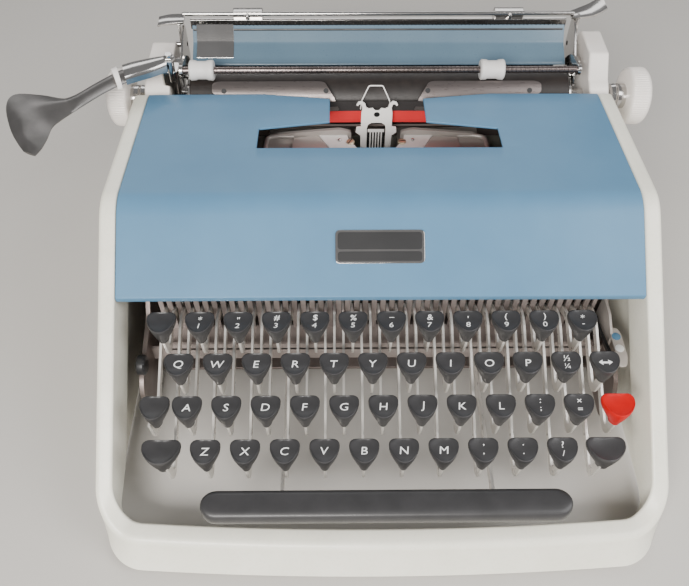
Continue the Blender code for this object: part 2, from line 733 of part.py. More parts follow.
def build_type_basket():
    """The slotted segment and the fan of typebars lying forward of it, as one shifting piece."""
    half_angle = [TYPEBAR_THICKNESS / 2 / radius for radius in (SEGMENT_OUTER, TYPEBAR_REACH)]
    rise = math.tan(math.radians(TYPEBAR_RISE))
    points = []

    def place(radius, angle, drop):
        z = SEGMENT_Z + max(0.0, radius - SEGMENT_OUTER) * rise - drop
        return (PRINT_X + radius * math.sin(angle), SEGMENT_Y - radius * math.cos(angle), z)

    spread = math.radians(TYPEBAR_SPREAD)
    for i in range(TYPEBAR_COUNT):
        middle = -spread + 2 * spread * i / (TYPEBAR_COUNT - 1)
        for side in (-1, 1):
            near = middle + side * half_angle[0]
            far = middle + side * half_angle[1]
            for drop in (0.0, BASKET_THICKNESS):
                points.append(place(SEGMENT_INNER, near, drop))
                points.append(place(SEGMENT_OUTER, near, drop))
                points.append(place(TYPEBAR_REACH, far, drop))
    faces = []
    stops = 2 * TYPEBAR_COUNT
    for stop in range(stops - 1):
        a = stop * 6
        b = a + 6
        faces.append([a, a + 1, b + 1, b])
        faces.append([a + 3, b + 3, b + 4, a + 4])
        faces.append([a, b, b + 3, a + 3])
        if stop % 2 == 0:
            faces.append([a + 1, a + 2, b + 2, b + 1])
            faces.append([a + 4, b + 4, b + 5, a + 5])
            faces.append([a + 2, a + 5, b + 5, b + 2])
            faces.append([a + 1, a + 4, a + 5, a + 2])
            faces.append([b + 1, b + 2, b + 5, b + 4])
        else:
            faces.append([a + 1, b + 1, b + 4, a + 4])
    end = (stops - 1) * 6
    faces.append([0, 3, 4, 1])
    faces.append([end, end + 1, end + 4, end + 3])
    origin = (PRINT_X, SEGMENT_Y, SEGMENT_Z)
    return new_object("type_basket", mesh_from("type_basket", points, faces, origin), "steel", origin)


def build_ribbon_vibrator():
    outer = VIBRATOR_HALF
    window = VIBRATOR_WINDOW
    sill = VIBRATOR_TOP - 8.0
    outline = [(-outer, VIBRATOR_BOTTOM), (-window, VIBRATOR_BOTTOM), (-window, sill), (window, sill),
               (window, VIBRATOR_BOTTOM), (outer, VIBRATOR_BOTTOM), (outer, VIBRATOR_TOP - 3),
               (outer - 3, VIBRATOR_TOP), (3 - outer, VIBRATOR_TOP), (-outer, VIBRATOR_TOP - 3)]
    origin = (PRINT_X, VIBRATOR_Y, VIBRATOR_BOTTOM)
    shape = prism([(PRINT_X + x, z) for x, z in outline], "Y", VIBRATOR_Y, VIBRATOR_Y + VIBRATOR_SHEET)
    return new_object("ribbon_vibrator", mesh_from("ribbon_vibrator", *shape, origin=origin), "chrome", origin)


def arm_outline(start, stop, width):
    """A flat bar between two points, square at both ends, as a closed outline."""
    along = (Vector(stop) - Vector(start)).normalized()
    across = Vector((-along.y, along.x)) * width / 2
    a = Vector(start) - along * width / 2
    b = Vector(stop) + along * width / 2
    return [tuple(a + across), tuple(a - across), tuple(b - across), tuple(b + across)]


def build_ribbon_selector():
    low = SELECTOR_X - 2.0 - PIN_RADIUS
    arm = prism(arm_outline((SELECTOR_Y, SELECTOR_Z), (SELECTOR_KNOB_Y, SELECTOR_KNOB_Z), 3.0), "X",
                SELECTOR_X - 0.8, SELECTOR_X + 0.8)
    eye = cylinder("X", (SELECTOR_Y, SELECTOR_Z), 5.0, SELECTOR_X - 1.0, SELECTOR_X + 1.0, 16)
    knob = cylinder("X", (SELECTOR_KNOB_Y, SELECTOR_KNOB_Z), SELECTOR_KNOB_RADIUS, low, SELECTOR_X + 1.2, 16)
    hole = cylinder("X", (SELECTOR_Y, SELECTOR_Z), PIN_RADIUS + HINGE_GAP, SELECTOR_X - 4, SELECTOR_X + 4, 12)
    return solid("ribbon_selector", "key", [eye, arm, knob], [hole],
                 origin=(SELECTOR_X, SELECTOR_Y, SELECTOR_Z))


# ---------------------------------------------------------------- carriage

def end_cap(left, top):
    """An end cap: round in front about the spindle, rising behind it."""
    centre = (PLATEN_Y, PLATEN_Z)
    outline = arc(centre, CAP_NOSE, 260, 105, 8)
    outline += [(CAP_SHOULDER_Y, top), (CARRIAGE_REAR - 6, top), (CARRIAGE_REAR, top - 6),
                (CARRIAGE_REAR, TRUCK_BOTTOM + 0.5), (TRUCK_Y - 4, TRUCK_BOTTOM + 0.5)]
    side = -1 if left else 1
    outer = side * (LEFT_CAP_OUTER if left else RIGHT_CAP_OUTER)
    inner = side * CAP_INNER
    return prism(outline, "X", CARRIAGE_X + min(inner, outer), CARRIAGE_X + max(inner, outer))


def paper_table():
    """The folded sheet behind the platen, as a closed section."""
    thick = TABLE_SHEET
    front = [TABLE_FOOT, TABLE_CREASE, TABLE_TOP]
    back = [(TABLE_TOP[0] + thick, TABLE_TOP[1] - thick * 0.5),
            (TABLE_CREASE[0] + thick * 0.6, TABLE_CREASE[1] - thick),
            (TABLE_FOOT[0] + thick * 0.3, TABLE_FOOT[1] - thick)]
    return prism(front + back, "X", CARRIAGE_X - TABLE_HALF, CARRIAGE_X + TABLE_HALF)


def paper_pan():
    """The curved deflector under the platen."""
    centre = (PLATEN_Y, PLATEN_Z)
    outline = arc(centre, PAN_RADIUS, 215, 320, 8)
    outline += arc(centre, PAN_RADIUS - PAN_SHEET, 320, 215, 8)
    return prism(outline, "X", CARRIAGE_X - PLATEN_HALF, CARRIAGE_X + PLATEN_HALF)


def build_carriage():
    reach = LEFT_CAP_OUTER - 2
    sill_top = TRUCK_TOP + 1.5
    sill_front = PLATEN_Y + math.sqrt((PLATEN_RADIUS + SILL_GAP) ** 2 - (PLATEN_Z - sill_top) ** 2)
    shapes = [
        block(CARRIAGE_X - reach, CARRIAGE_X + RIGHT_CAP_OUTER - 2, TRUCK_Y, TRUCK_Y + TRUCK_DEPTH,
              TRUCK_BOTTOM, TRUCK_TOP),
        end_cap(True, LEFT_CAP_TOP),
        end_cap(False, RIGHT_CAP_TOP),
        block(CARRIAGE_X - TABLE_HALF + 1, CARRIAGE_X + TABLE_HALF - 1, WEB_Y, WEB_Y + WEB_THICKNESS,
              TRUCK_TOP - 1, TABLE_TOP[1] - 2),
        paper_table(),
        paper_pan(),
        block(CARRIAGE_X - PLATEN_HALF + 1, CARRIAGE_X + PLATEN_HALF - 1, sill_front, TRUCK_Y + 2,
              TRUCK_TOP - 2, sill_top),
        block(CARRIAGE_X - SCALE_HALF, CARRIAGE_X + SCALE_HALF, WEB_Y + WEB_THICKNESS - 1, 291.0,
              SCALE_Z, SCALE_Z + SCALE_HEIGHT),
    ]
    for side in (-1, 1):
        middle = CARRIAGE_X + side * STOP_X
        shapes.append(block(middle - STOP_WIDTH / 2, middle + STOP_WIDTH / 2, *STOP_SPAN_Y, *STOP_SPAN_Z))
    bracket_x = CARRIAGE_X + LEVER_PIVOT_X
    shapes.append(block(CARRIAGE_X - CAP_INNER - 4, bracket_x + 4, LEVER_PIVOT_Y - 2.8, LEVER_PIVOT_Y + 8,
                        BRACKET_BOTTOM, RETURN_BLADE_Z - 2.5))
    shapes.append(cylinder("Z", (bracket_x, LEVER_PIVOT_Y), POST_RADIUS, POST_BOTTOM, POST_TOP, 12))
    cuts = [cylinder("X", (PLATEN_Y, PLATEN_Z), SPINDLE_RADIUS + HINGE_GAP, -200.0, 200.0, 20)]
    for pin in ((BAIL_PIVOT_Y, BAIL_PIVOT_Z), (RELEASE_Y, RELEASE_Z)):
        for side in (-1, 1):
            start = CARRIAGE_X + side * (CAP_INNER - 2)
            stop = CARRIAGE_X + side * (CAP_INNER + PIN_REACH)
            cuts.append(cylinder("X", pin, PIN_RADIUS + HINGE_GAP, min(start, stop), max(start, stop), 12))
    return solid("carriage", "carriage", shapes, cuts, origin=(CARRIAGE_X, PLATEN_Y, PLATEN_Z))


def build_platen():
    """Roller, spindle, collars and knobs, turned about one axis."""
    half = [
        (0.0, PLATEN_RADIUS), (PLATEN_HALF, PLATEN_RADIUS), (PLATEN_HALF, SPINDLE_RADIUS),
        (COLLAR_INNER, SPINDLE_RADIUS), (COLLAR_INNER, COLLAR_RADIUS), (KNOB_INNER, COLLAR_RADIUS),
        (KNOB_INNER, KNOB_RADIUS - 1.0), (KNOB_INNER + 1.0, KNOB_RADIUS),
        (KNOB_OUTER - 2.0, KNOB_RADIUS), (KNOB_OUTER, KNOB_RADIUS - 2.5),
    ]
    profile = [(-x, radius) for x, radius in reversed(half[1:])] + half[1:]
    rings = [[(CARRIAGE_X + x, y, z) for y, z in circle((PLATEN_Y, PLATEN_Z), radius, 32)]
             for x, radius in profile]
    origin = (CARRIAGE_X, PLATEN_Y, PLATEN_Z)
    return new_object("platen", mesh_from("platen", *loft(rings), origin=origin), "rubber", origin)


def build_return_lever():
    """A flat lever that ends in a broad finger paddle to the left of the machine."""
    pivot = Vector((CARRIAGE_X + LEVER_PIVOT_X, LEVER_PIVOT_Y))
    rings = []
    for rear, front in RETURN_EDGES:
        width = math.dist(rear, front)
        lift = math.tan(math.radians(PADDLE_TILT)) * max(0.0, width - RETURN_ARM_WIDTH)
        near = pivot + Vector(front)
        far = pivot + Vector(rear)
        base = RETURN_BLADE_Z
        top = base + RETURN_BLADE_THICKNESS
        rings.append([(far.x, far.y, base + lift), (near.x, near.y, base),
                      (near.x, near.y, top), (far.x, far.y, top + lift)])
    blade = loft(rings)
    hub = cylinder("Z", tuple(pivot), HUB_RADIUS, RETURN_BLADE_Z - 1.5,
                   RETURN_BLADE_Z + RETURN_BLADE_THICKNESS + 2.0, 16)
    hole = cylinder("Z", tuple(pivot), POST_RADIUS + HINGE_GAP, RETURN_BLADE_Z - 5, POST_TOP + 5, 12)
    return solid("return_lever", "chrome", [hub, blade], [hole], origin=(pivot.x, pivot.y, RETURN_BLADE_Z))


def build_paper_bail():
    shapes = [cylinder("X", (BAIL_Y, BAIL_Z), BAIL_RADIUS, CARRIAGE_X - BAIL_ARM_X, CARRIAGE_X + BAIL_ARM_X)]
    for middle in BAIL_ROLLERS:
        low = CARRIAGE_X + middle - BAIL_ROLLER_LENGTH / 2
        shapes.append(cylinder("X", (BAIL_Y, BAIL_Z), BAIL_ROLLER_RADIUS, low, low + BAIL_ROLLER_LENGTH, 20))
    outline = arm_outline((BAIL_PIVOT_Y, BAIL_PIVOT_Z), (BAIL_Y, BAIL_Z), 5.0)
    for side in (-1, 1):
        middle = CARRIAGE_X + side * BAIL_ARM_X
        half = BAIL_ARM_THICKNESS / 2
        shapes.append(prism(outline, "X", middle - half, middle + half))
        ends = sorted((middle, CARRIAGE_X + side * (CAP_INNER + PIN_REACH - 1)))
        shapes.append(cylinder("X", (BAIL_PIVOT_Y, BAIL_PIVOT_Z), PIN_RADIUS, *ends, 12))
    return solid("paper_bail", "steel", shapes, origin=(CARRIAGE_X, BAIL_PIVOT_Y, BAIL_PIVOT_Z))


def build_release_lever(name, side, outline, tab):
    """A bent lever behind the paper table: a plate on a pin, and a tab for the finger."""
    middle = CARRIAGE_X + side * RELEASE_X
    half = RELEASE_THICKNESS / 2
    plate = prism(outline, "X", middle - half, middle + half)
    ends = sorted((middle, CARRIAGE_X + side * (CAP_INNER + PIN_REACH - 1)))
    pin = cylinder("X", (RELEASE_Y, RELEASE_Z), PIN_RADIUS, *ends, 12)
    x0, x1, section = tab
    finger = prism(section, "X", CARRIAGE_X + x0, CARRIAGE_X + x1)
    return solid(name, "chrome", [plate, pin, finger], origin=(middle, RELEASE_Y, RELEASE_Z))


def build_release_levers():
    left_plate = [(RELEASE_Y - 3, RELEASE_Z - 3), (RELEASE_Y + 3, RELEASE_Z - 3), (RELEASE_Y + 6, 112.0),
                  (294.0, 123.0), (288.0, 123.0), (RELEASE_Y, 112.0)]
    left_tab = [(286.5, 121.0), (295.0, 121.5), (295.0, 125.0), (286.5, 124.0)]
    build_release_lever("paper_release_lever", -1, left_plate, (-135.0, -117.0, left_tab))
    right_plate = [(RELEASE_Y - 3, RELEASE_Z - 3), (RELEASE_Y + 3, RELEASE_Z - 3), (RELEASE_Y + 6, 112.0),
                   (296.0, 128.0), (290.0, 128.0), (RELEASE_Y, 112.0)]
    right_tab = [(285.0, 126.0), (292.0, 126.5), (300.0, 130.5), (299.0, 133.0), (291.0, 129.5),
                 (285.0, 128.5)]
    build_release_lever("carriage_release_lever", 1, right_plate, (117.0, 137.5, right_tab))


# ---------------------------------------------------------------- the whole machine

def stand_on_origin():
    """Move the root so that the middle of the underside of the machine's box is the origin."""
    bpy.context.view_layer.update()
    graph = bpy.context.evaluated_depsgraph_get()
    corners = []
    for item in bpy.data.objects:
        if item.type == "MESH":
            shape = item.evaluated_get(graph)
            corners += [shape.matrix_world @ Vector(corner) for corner in shape.bound_box]
    low = [min(corner[axis] for corner in corners) for axis in range(3)]
    high = [max(corner[axis] for corner in corners) for axis in range(3)]
    ROOT.location = (-(low[0] + high[0]) / 2, -(low[1] + high[1]) / 2, -low[2])
    bpy.context.view_layer.update()


clear_scene()
ROOT = bpy.data.objects.new("typewriter", None)
bpy.context.scene.collection.objects.link(ROOT)

build_case()
build_cover()
build_frame()
build_character_keys()
build_function_keys()
build_shift_keys()
build_space_bar()
build_type_basket()
build_ribbon_vibrator()
build_ribbon_selector()
build_carriage()
build_platen()
build_return_lever()
build_paper_bail()
build_release_levers()
stand_on_origin()
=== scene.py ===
"""Looks of the portable typewriter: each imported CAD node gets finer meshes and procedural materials.

Places are written in design millimetres: X to the right, Y to the rear and Z up, from the middle of
the case's front edge on the table. P() turns them into the frame's metres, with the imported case's box
as its anchor. The camera is placed first, then the pieces, each riding on its body, and the floor,
the world and the lights come last.
"""
import math

import bmesh
import bpy
from mathutils import Matrix, Vector


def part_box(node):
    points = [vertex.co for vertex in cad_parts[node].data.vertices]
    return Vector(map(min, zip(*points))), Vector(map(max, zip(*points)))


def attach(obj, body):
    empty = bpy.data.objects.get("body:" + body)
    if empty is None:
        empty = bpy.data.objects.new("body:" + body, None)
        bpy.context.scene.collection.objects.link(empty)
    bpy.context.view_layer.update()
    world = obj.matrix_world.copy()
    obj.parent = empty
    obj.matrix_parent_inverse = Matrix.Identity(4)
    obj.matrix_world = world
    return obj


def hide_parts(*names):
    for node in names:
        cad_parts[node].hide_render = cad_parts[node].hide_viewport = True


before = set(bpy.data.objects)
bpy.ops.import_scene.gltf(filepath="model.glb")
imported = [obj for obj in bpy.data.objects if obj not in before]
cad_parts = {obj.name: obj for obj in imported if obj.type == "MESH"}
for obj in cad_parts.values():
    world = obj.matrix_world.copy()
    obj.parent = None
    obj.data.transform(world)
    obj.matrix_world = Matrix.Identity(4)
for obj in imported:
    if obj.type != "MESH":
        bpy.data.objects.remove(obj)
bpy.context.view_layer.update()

MM = 0.001
CASE_LOW, CASE_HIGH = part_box("case")
CASE_REAR = 296.0
ORIGIN = Vector(((CASE_LOW.x + CASE_HIGH.x) / 2, CASE_HIGH.y - CASE_REAR * MM, CASE_LOW.z))

# Case and cover
HALF_WIDTH = 140.0
INNER_HALF = 137.0
SKIRT_Z = 3.0
SKIN = 2.5
RAIL_WIDTH = 8.5
FRONT_BAR_WIDTH = 10.5
LIP_DEPTH = 30.0
RAIL_ROUND = 2.6
FRONT_BOW = 5.5
FRONT_LEAN = 7.4
FRONT_TOP_Y = 7.0
FRONT_TOP_Z = 20.5
FRONT_CORNER = 22.0
REAR_CORNER = 10.0
RAIL_START_Y = 9.0
CREASE_Y = 143.1
CREASE_Z = 114.8
CREASE_BLEND = 7.0
COVER_REAR_Y = 237.1
COVER_REAR_Z = 107.6
REAR_DECK_Z = 68.0
COVER_FRONT_Y = 103.0
COVER_HALF = 131.1
COVER_SHEET = 1.5
OPENING_X = 1.3
OPENING_HALF = 66.0
OPENING_FRONT_Y = 185.0
OPENING_REAR_Y = 203.0
THROAT_HALF = 27.0
SLOPE = (CREASE_Z - FRONT_TOP_Z) / (CREASE_Y - RAIL_START_Y)
FALL = (COVER_REAR_Z - CREASE_Z) / (COVER_REAR_Y - CREASE_Y)

# Keyboard
PITCH = 19.05
FIRST_KEY_X = -90.2
FRONT_ROW_Y = 38.3
FRONT_ROW_Z = 50.9
ROW_RUN = 18.72
ROW_RISE = 9.11
CAP_WIDTH = 14.6
TAB_CAP_WIDTH = 16.4
SHIFT_CAP_WIDTH = 19.0
CAP_DEPTH = 13.0
CAP_HEIGHT = 11.4
DISH = 1.15
LEVER_THICKNESS = 1.2
LEVER_HEIGHT = 4.6
STEM_DROP = 9.5
SHAFT_Y = 215.0
SHAFT_Z = 18.5
HOOK_LOW = 14.3
SHIFT_TUBE = (215.0, 7.6)

# Frame
FRAME_HALF = 124.5
PLATE_INSIDE = 123.5
PLATE_OUTSIDE = 126.0
COMB_Y = 106.0
COMB_REAR = 120.0
COMB_HALF = 117.5
COMB_SHEET = 1.5
COMB_STEP_Z = 38.0
COMB_TOP_Z = 63.0
SLOT_HALF = 1.0
SPOOL_X = 86.0
SPOOL_Y = 165.0

# Printing point and carriage
PRINT_X = 2.0
CARRIAGE_X = 4.0
PLATEN = (255.5, 92.0)
PLATEN_RADIUS = 16.5
PLATEN_HALF = 113.0
BAIL = (250.0, 115.0)
BAIL_PIVOT = (274.0, 104.0)
LEVER_PIVOT = (-118.5, 250.0)
SEGMENT = (244.5, 33.7)
TYPEBARS = 43
SCALE_STEP = 2.54

# Materials
NOISE_LOW = 0.3
NOISE_HIGH = 0.7
COAT_ROUGHNESS = 0.12
RELIEF_METRES = 0.0004


def P(x, y, z):
    """A design point in the frame's metres."""
    return ORIGIN + Vector((x, y, z)) * MM


# ---------------------------------------------------------------- materials

def node_input(tree, node, name, source):
    tree.links.new(source, node.inputs[name])


def finish(name, dark, light, roughness, metallic=0.0, patch=45.0, grain=2200.0, bump=0.05,
           spread=0.1, stretch=(1.0, 1.0, 1.0), coat=0.0, speck=0.0, gloss=0.5):
    """A surface with slow colour drift, fine grain in its gloss and relief, and optional specks."""
    material = bpy.data.materials.new(name)
    material.use_nodes = True
    tree = material.node_tree
    nodes = tree.nodes
    shader = nodes["Principled BSDF"]
    shader.inputs["Metallic"].default_value = metallic
    shader.inputs["Coat Weight"].default_value = coat
    shader.inputs["Specular IOR Level"].default_value = gloss
    shader.inputs["Coat Roughness"].default_value = COAT_ROUGHNESS
    place = nodes.new("ShaderNodeTexCoord").outputs["Object"]
    mapping = nodes.new("ShaderNodeMapping")
    mapping.inputs["Scale"].default_value = stretch
    node_input(tree, mapping, "Vector", place)

    def noise(scale, detail):
        texture = nodes.new("ShaderNodeTexNoise")
        texture.inputs["Scale"].default_value = scale
        texture.inputs["Detail"].default_value = detail
        node_input(tree, texture, "Vector", mapping.outputs["Vector"])
        return texture.outputs["Fac"]

    def span(source, low, high):
        scaled = nodes.new("ShaderNodeMapRange")
        scaled.inputs["From Min"].default_value = NOISE_LOW
        scaled.inputs["From Max"].default_value = NOISE_HIGH
        scaled.inputs["To Min"].default_value = low
        scaled.inputs["To Max"].default_value = high
        node_input(tree, scaled, "Value", source)
        return scaled.outputs["Result"]

    slow = noise(patch, 3.0)
    fine = noise(grain, 2.0)
    ramp = nodes.new("ShaderNodeValToRGB")
    ramp.color_ramp.elements[0].position = 0.32
    ramp.color_ramp.elements[0].color = (*dark, 1.0)
    ramp.color_ramp.elements[1].position = 0.68
    ramp.color_ramp.elements[1].color = (*light, 1.0)
    node_input(tree, ramp, "Fac", slow)
    colour = ramp.outputs["Color"]
    if speck:
        dots = nodes.new("ShaderNodeMix")
        dots.data_type = "RGBA"
        dots.inputs[7].default_value = (*[c * 0.45 for c in dark], 1.0)
        tree.links.new(span(noise(grain * 0.35, 0.0), -speck * 3.0, speck), dots.inputs[0])
        tree.links.new(colour, dots.inputs[6])
        colour = dots.outputs[2]
    node_input(tree, shader, "Base Color", colour)
    node_input(tree, shader, "Roughness", span(fine, roughness - spread, roughness + spread))
    relief = nodes.new("ShaderNodeBump")
    relief.inputs["Strength"].default_value = bump
    relief.inputs["Distance"].default_value = RELIEF_METRES
    node_input(tree, relief, "Height", fine)
    node_input(tree, shader, "Normal", relief.outputs["Normal"])
    return material


def woven(name, low_colour, high_colour, split_z):
    """Ribbon cloth with two dyed bands that meet at a height, and a fine plain weave."""
    material = finish(name, low_colour, low_colour, 0.75, grain=2500.0, bump=0.2)
    tree = material.node_tree
    nodes = tree.nodes
    place = nodes.new("ShaderNodeTexCoord").outputs["Object"]
    split = nodes.new("ShaderNodeSeparateXYZ")
    node_input(tree, split, "Vector", place)
    above = nodes.new("ShaderNodeMath")
    above.operation = "GREATER_THAN"
    above.inputs[1].default_value = split_z
    tree.links.new(split.outputs["Z"], above.inputs[0])
    bands = nodes.new("ShaderNodeMix")
    bands.data_type = "RGBA"
    bands.inputs[6].default_value = (*low_colour, 1.0)
    bands.inputs[7].default_value = (*high_colour, 1.0)
    tree.links.new(above.outputs["Value"], bands.inputs[0])
    node_input(tree, nodes["Principled BSDF"], "Base Color", bands.outputs[2])
    weave = nodes.new("ShaderNodeTexChecker")
    weave.inputs["Scale"].default_value = 2400.0
    node_input(tree, weave, "Vector", place)
    node_input(tree, nodes["Bump"], "Height", weave.outputs["Fac"])
    return material


BRUSHED = (0.06, 1.0, 1.0)
FINISHES = {
    "cream": (finish("cream_paint", (0.84, 0.825, 0.71), (0.90, 0.88, 0.77), 0.42, bump=0.10,
                     grain=1700.0, coat=0.15, speck=0.05), "cream_shell"),
    "white": (finish("white_plastic", (0.80, 0.755, 0.71), (0.86, 0.815, 0.77), 0.38, bump=0.04,
                     coat=0.2), "cream_shell"),
    "blue": (finish("blue_enamel", (0.085, 0.205, 0.335), (0.098, 0.225, 0.360), 0.42, patch=30.0,
                    grain=1300.0, bump=0.07, spread=0.05, coat=0.08, gloss=0.35), "blue_enamel"),
    "table": (finish("table_enamel", (0.090, 0.150, 0.205), (0.105, 0.170, 0.225), 0.32, patch=30.0,
                     grain=1300.0, bump=0.05, spread=0.05, coat=0.4), "carriage_enamel"),
    "chrome": (finish("chrome", (0.50, 0.485, 0.47), (0.58, 0.565, 0.55), 0.15, 1.0, spread=0.03,
                      bump=0.008), "chrome"),
    "aluminium": (finish("aluminium", (0.16, 0.155, 0.15), (0.22, 0.21, 0.205), 0.40, 0.9, patch=90.0,
                         grain=2600.0, spread=0.04, bump=0.012), "chrome"),
    "card": (finish("card_steel", (0.17, 0.145, 0.14), (0.24, 0.21, 0.20), 0.30, 0.95, grain=2400.0,
                    spread=0.03, bump=0.01, stretch=BRUSHED), "frame_steel"),
    "steel": (finish("frame_steel", (0.20, 0.165, 0.155), (0.29, 0.245, 0.225), 0.42, 0.75, patch=60.0,
                     grain=1800.0, bump=0.03, spread=0.05, stretch=BRUSHED), "frame_steel"),
    # Painted sheen: the polished plates get a near-white, non-metal colour that lifts them out of the shade
    # they stand in.
    "bright": (finish("bright_plate_painted_sheen", (0.86, 0.83, 0.80), (0.95, 0.92, 0.90), 0.40, 0.0, grain=2200.0,
                      bump=0.012, spread=0.04, stretch=BRUSHED), "frame_steel"),
    "bail": (finish("bail_steel", (0.12, 0.10, 0.095), (0.22, 0.18, 0.17), 0.30, 0.95, bump=0.04),
             "bail_steel"),
    "lever": (finish("lever_steel", (0.78, 0.75, 0.70), (0.90, 0.87, 0.82), 0.36, 0.55, bump=0.05,
                     stretch=(1.0, 0.1, 0.1)), "typebar_steel"),
    "comb": (finish("comb_steel", (0.30, 0.255, 0.24), (0.40, 0.345, 0.325), 0.50, 0.15, grain=1900.0,
                    bump=0.02, spread=0.04, stretch=BRUSHED), "frame_steel"),
    "satin": (finish("satin_steel", (0.46, 0.42, 0.39), (0.58, 0.535, 0.50), 0.36, 0.35, grain=1900.0,
                     bump=0.015, spread=0.04, stretch=BRUSHED), "frame_steel"),
    "typebar": (finish("typebar_steel", (0.40, 0.38, 0.36), (0.55, 0.53, 0.50), 0.34, 0.9, bump=0.05),
                "typebar_steel"),
    "key": (finish("key_plastic", (0.026, 0.0255, 0.0265), (0.034, 0.033, 0.0345), 0.44, patch=120.0,
                   grain=2600.0, bump=0.10, spread=0.08, coat=0.1), "key_plastic"),
    "red": (finish("red_plastic", (0.44, 0.001, 0.002), (0.52, 0.002, 0.003), 0.42, patch=120.0,
                   grain=2600.0, bump=0.08, gloss=0.2), "red_key_plastic"),
    "ink": (finish("white_ink", (0.84, 0.85, 0.84), (0.90, 0.91, 0.90), 0.45, bump=0.02),
            "key_plastic"),
    "rubber": (finish("platen_rubber", (0.012, 0.009, 0.008), (0.020, 0.015, 0.013), 0.46, patch=200.0,
                      grain=1500.0, bump=0.06, spread=0.08), "platen_rubber"),
    "roller": (finish("roller_rubber", (0.62, 0.60, 0.58), (0.72, 0.70, 0.68), 0.5, bump=0.08),
               "bail_steel"),
    # Black is the real enamel of spools, badge and scale, and also the painted shade in holes, slots and
    # behind the vibrator guide.
    "black": (finish("black_enamel_and_painted_shade", (0.006, 0.006, 0.007), (0.011, 0.011, 0.012), 0.48, bump=0.03),
              "frame_steel"),
    "brass": (finish("brass", (0.62, 0.52, 0.36), (0.74, 0.64, 0.46), 0.42, 0.7), "frame_steel"),
    "selector": (finish("selector_black", (0.02, 0.02, 0.022), (0.035, 0.035, 0.038), 0.35, 0.3),
                 "selector_steel"),
}


# ---------------------------------------------------------------- mesh helpers

def arc(centre, radius, start, stop, steps):
    """Points along an arc; the angles are in degrees."""
    angles = [math.radians(start + (stop - start) * i / steps) for i in range(steps + 1)]
    return [(centre[0] + radius * math.cos(a), centre[1] + radius * math.sin(a)) for a in angles]


def soften(points, radius, closed=True, steps=4):
    """Round the corners of an outline, or of an open path's bends, in two or three dimensions."""
    points = [Vector(point) for point in points]
    count = len(points)
    result = []
    for i, here in enumerate(points):
        if not closed and i in (0, count - 1):
            result.append(tuple(here))
            continue
        before = points[i - 1] - here
        after = points[(i + 1) % count] - here
        start = here + before.normalized() * min(radius, before.length * 0.48)
        stop = here + after.normalized() * min(radius, after.length * 0.48)
        for k in range(steps + 1):
            t = k / steps
            result.append(tuple(start * (1 - t) ** 2 + here * (2 * t * (1 - t)) + stop * t ** 2))
    return result


def prism(outline, axis, low, high):
    """Extrude a closed outline, given in the two other axes, along the axis."""
    index = "XYZ".index(axis)
    points = []
    for along in (low, high):
        for pair in outline:
            point = list(pair)
            point.insert(index, along)
            points.append(point)
    count = len(outline)
    faces = [list(range(count)), list(range(2 * count - 1, count - 1, -1))]
    faces += [[i, (i + 1) % count, count + (i + 1) % count, count + i] for i in range(count)]
    return points, faces


def block(x0, x1, y0, y1, z0, z1):
    """A box between two places on each axis."""
    return prism([(x0, y0), (x1, y0), (x1, y1), (x0, y1)], "Z", z0, z1)


def loft(rings, closed=False):
    """Join rings of equally many points; the ends are capped, or joined where the loft is closed."""
    count = len(rings[0])
    points = [point for ring in rings for point in ring]
    faces = []
    if not closed:
        faces = [list(range(count)), list(range(len(points) - 1, len(points) - count - 1, -1))]
    for level in range(len(rings) if closed else len(rings) - 1):
        for i in range(count):
            j = (i + 1) % count
            low = level * count
            high = ((level + 1) % len(rings)) * count
            faces.append([low + i, low + j, high + j, high + i])
    return points, faces


def revolve(axis, centre, profile, sides=48, ribs=None):
    """Turn a profile of (place along the axis, radius) about it; ribs is (from, to, depth) along it."""
    index = "XYZ".index(axis)
    rings = []
    for along, radius in profile:
        ring = []
        for i in range(sides):
            angle = 2 * math.pi * i / sides
            ribbed = ribs and ribs[0] <= along <= ribs[1] and i % 4 > 1
            reach = radius - ribs[2] if ribbed else radius
            point = [centre[0] + reach * math.cos(angle), centre[1] + reach * math.sin(angle)]
            point.insert(index, along)
            ring.append(point)
        rings.append(ring)
    return loft(rings)


def rod(axis, centre, radius, low, high, sides=24, edge=0.3):
    """A round bar with broken edges."""
    edge = min(edge, radius * 0.5, (high - low) * 0.3)
    return revolve(axis, centre, [(low, radius - edge), (low + edge, radius), (high - edge, radius),
                                  (high, radius - edge)], sides)


def tube(path, radius, sides=10):
    """A round wire along a path of points."""
    points = [Vector(point) for point in path]
    rings = []
    side = None
    for i, here in enumerate(points):
        along = (points[min(i + 1, len(points) - 1)] - points[max(i - 1, 0)]).normalized()
        if side is None:
            side = along.orthogonal().normalized()
        side = (side - along * side.dot(along)).normalized()
        up = along.cross(side)
        rings.append([tuple(here + (side * math.cos(a) + up * math.sin(a)) * radius)
                      for a in (2 * math.pi * k / sides for k in range(sides))])
    return loft(rings)


def helix(start, stop, radius, turns, wire, steps=14):
    """A coil spring between two points."""
    start = Vector(start)
    along = Vector(stop) - start
    side = along.orthogonal().normalized()
    up = along.normalized().cross(side)
    path = []
    for i in range(turns * steps + 1):
        angle = 2 * math.pi * i / steps
        around = (side * math.cos(angle) + up * math.sin(angle)) * radius
        path.append(start + along * i / (turns * steps) + around)
    return tube(path, wire, 6)


def strip(path, width, axis, low, high):
    """A flat strip of one width along a path in the plane across the axis."""
    left, right = [], []
    for i, point in enumerate(path):
        along = (Vector(path[min(i + 1, len(path) - 1)]) - Vector(path[max(i - 1, 0)])).normalized()
        across = Vector((-along.y, along.x)) * width / 2
        left.append(tuple(Vector(point) + across))
        right.append(tuple(Vector(point) - across))
    return prism(left + right[::-1], axis, low, high)


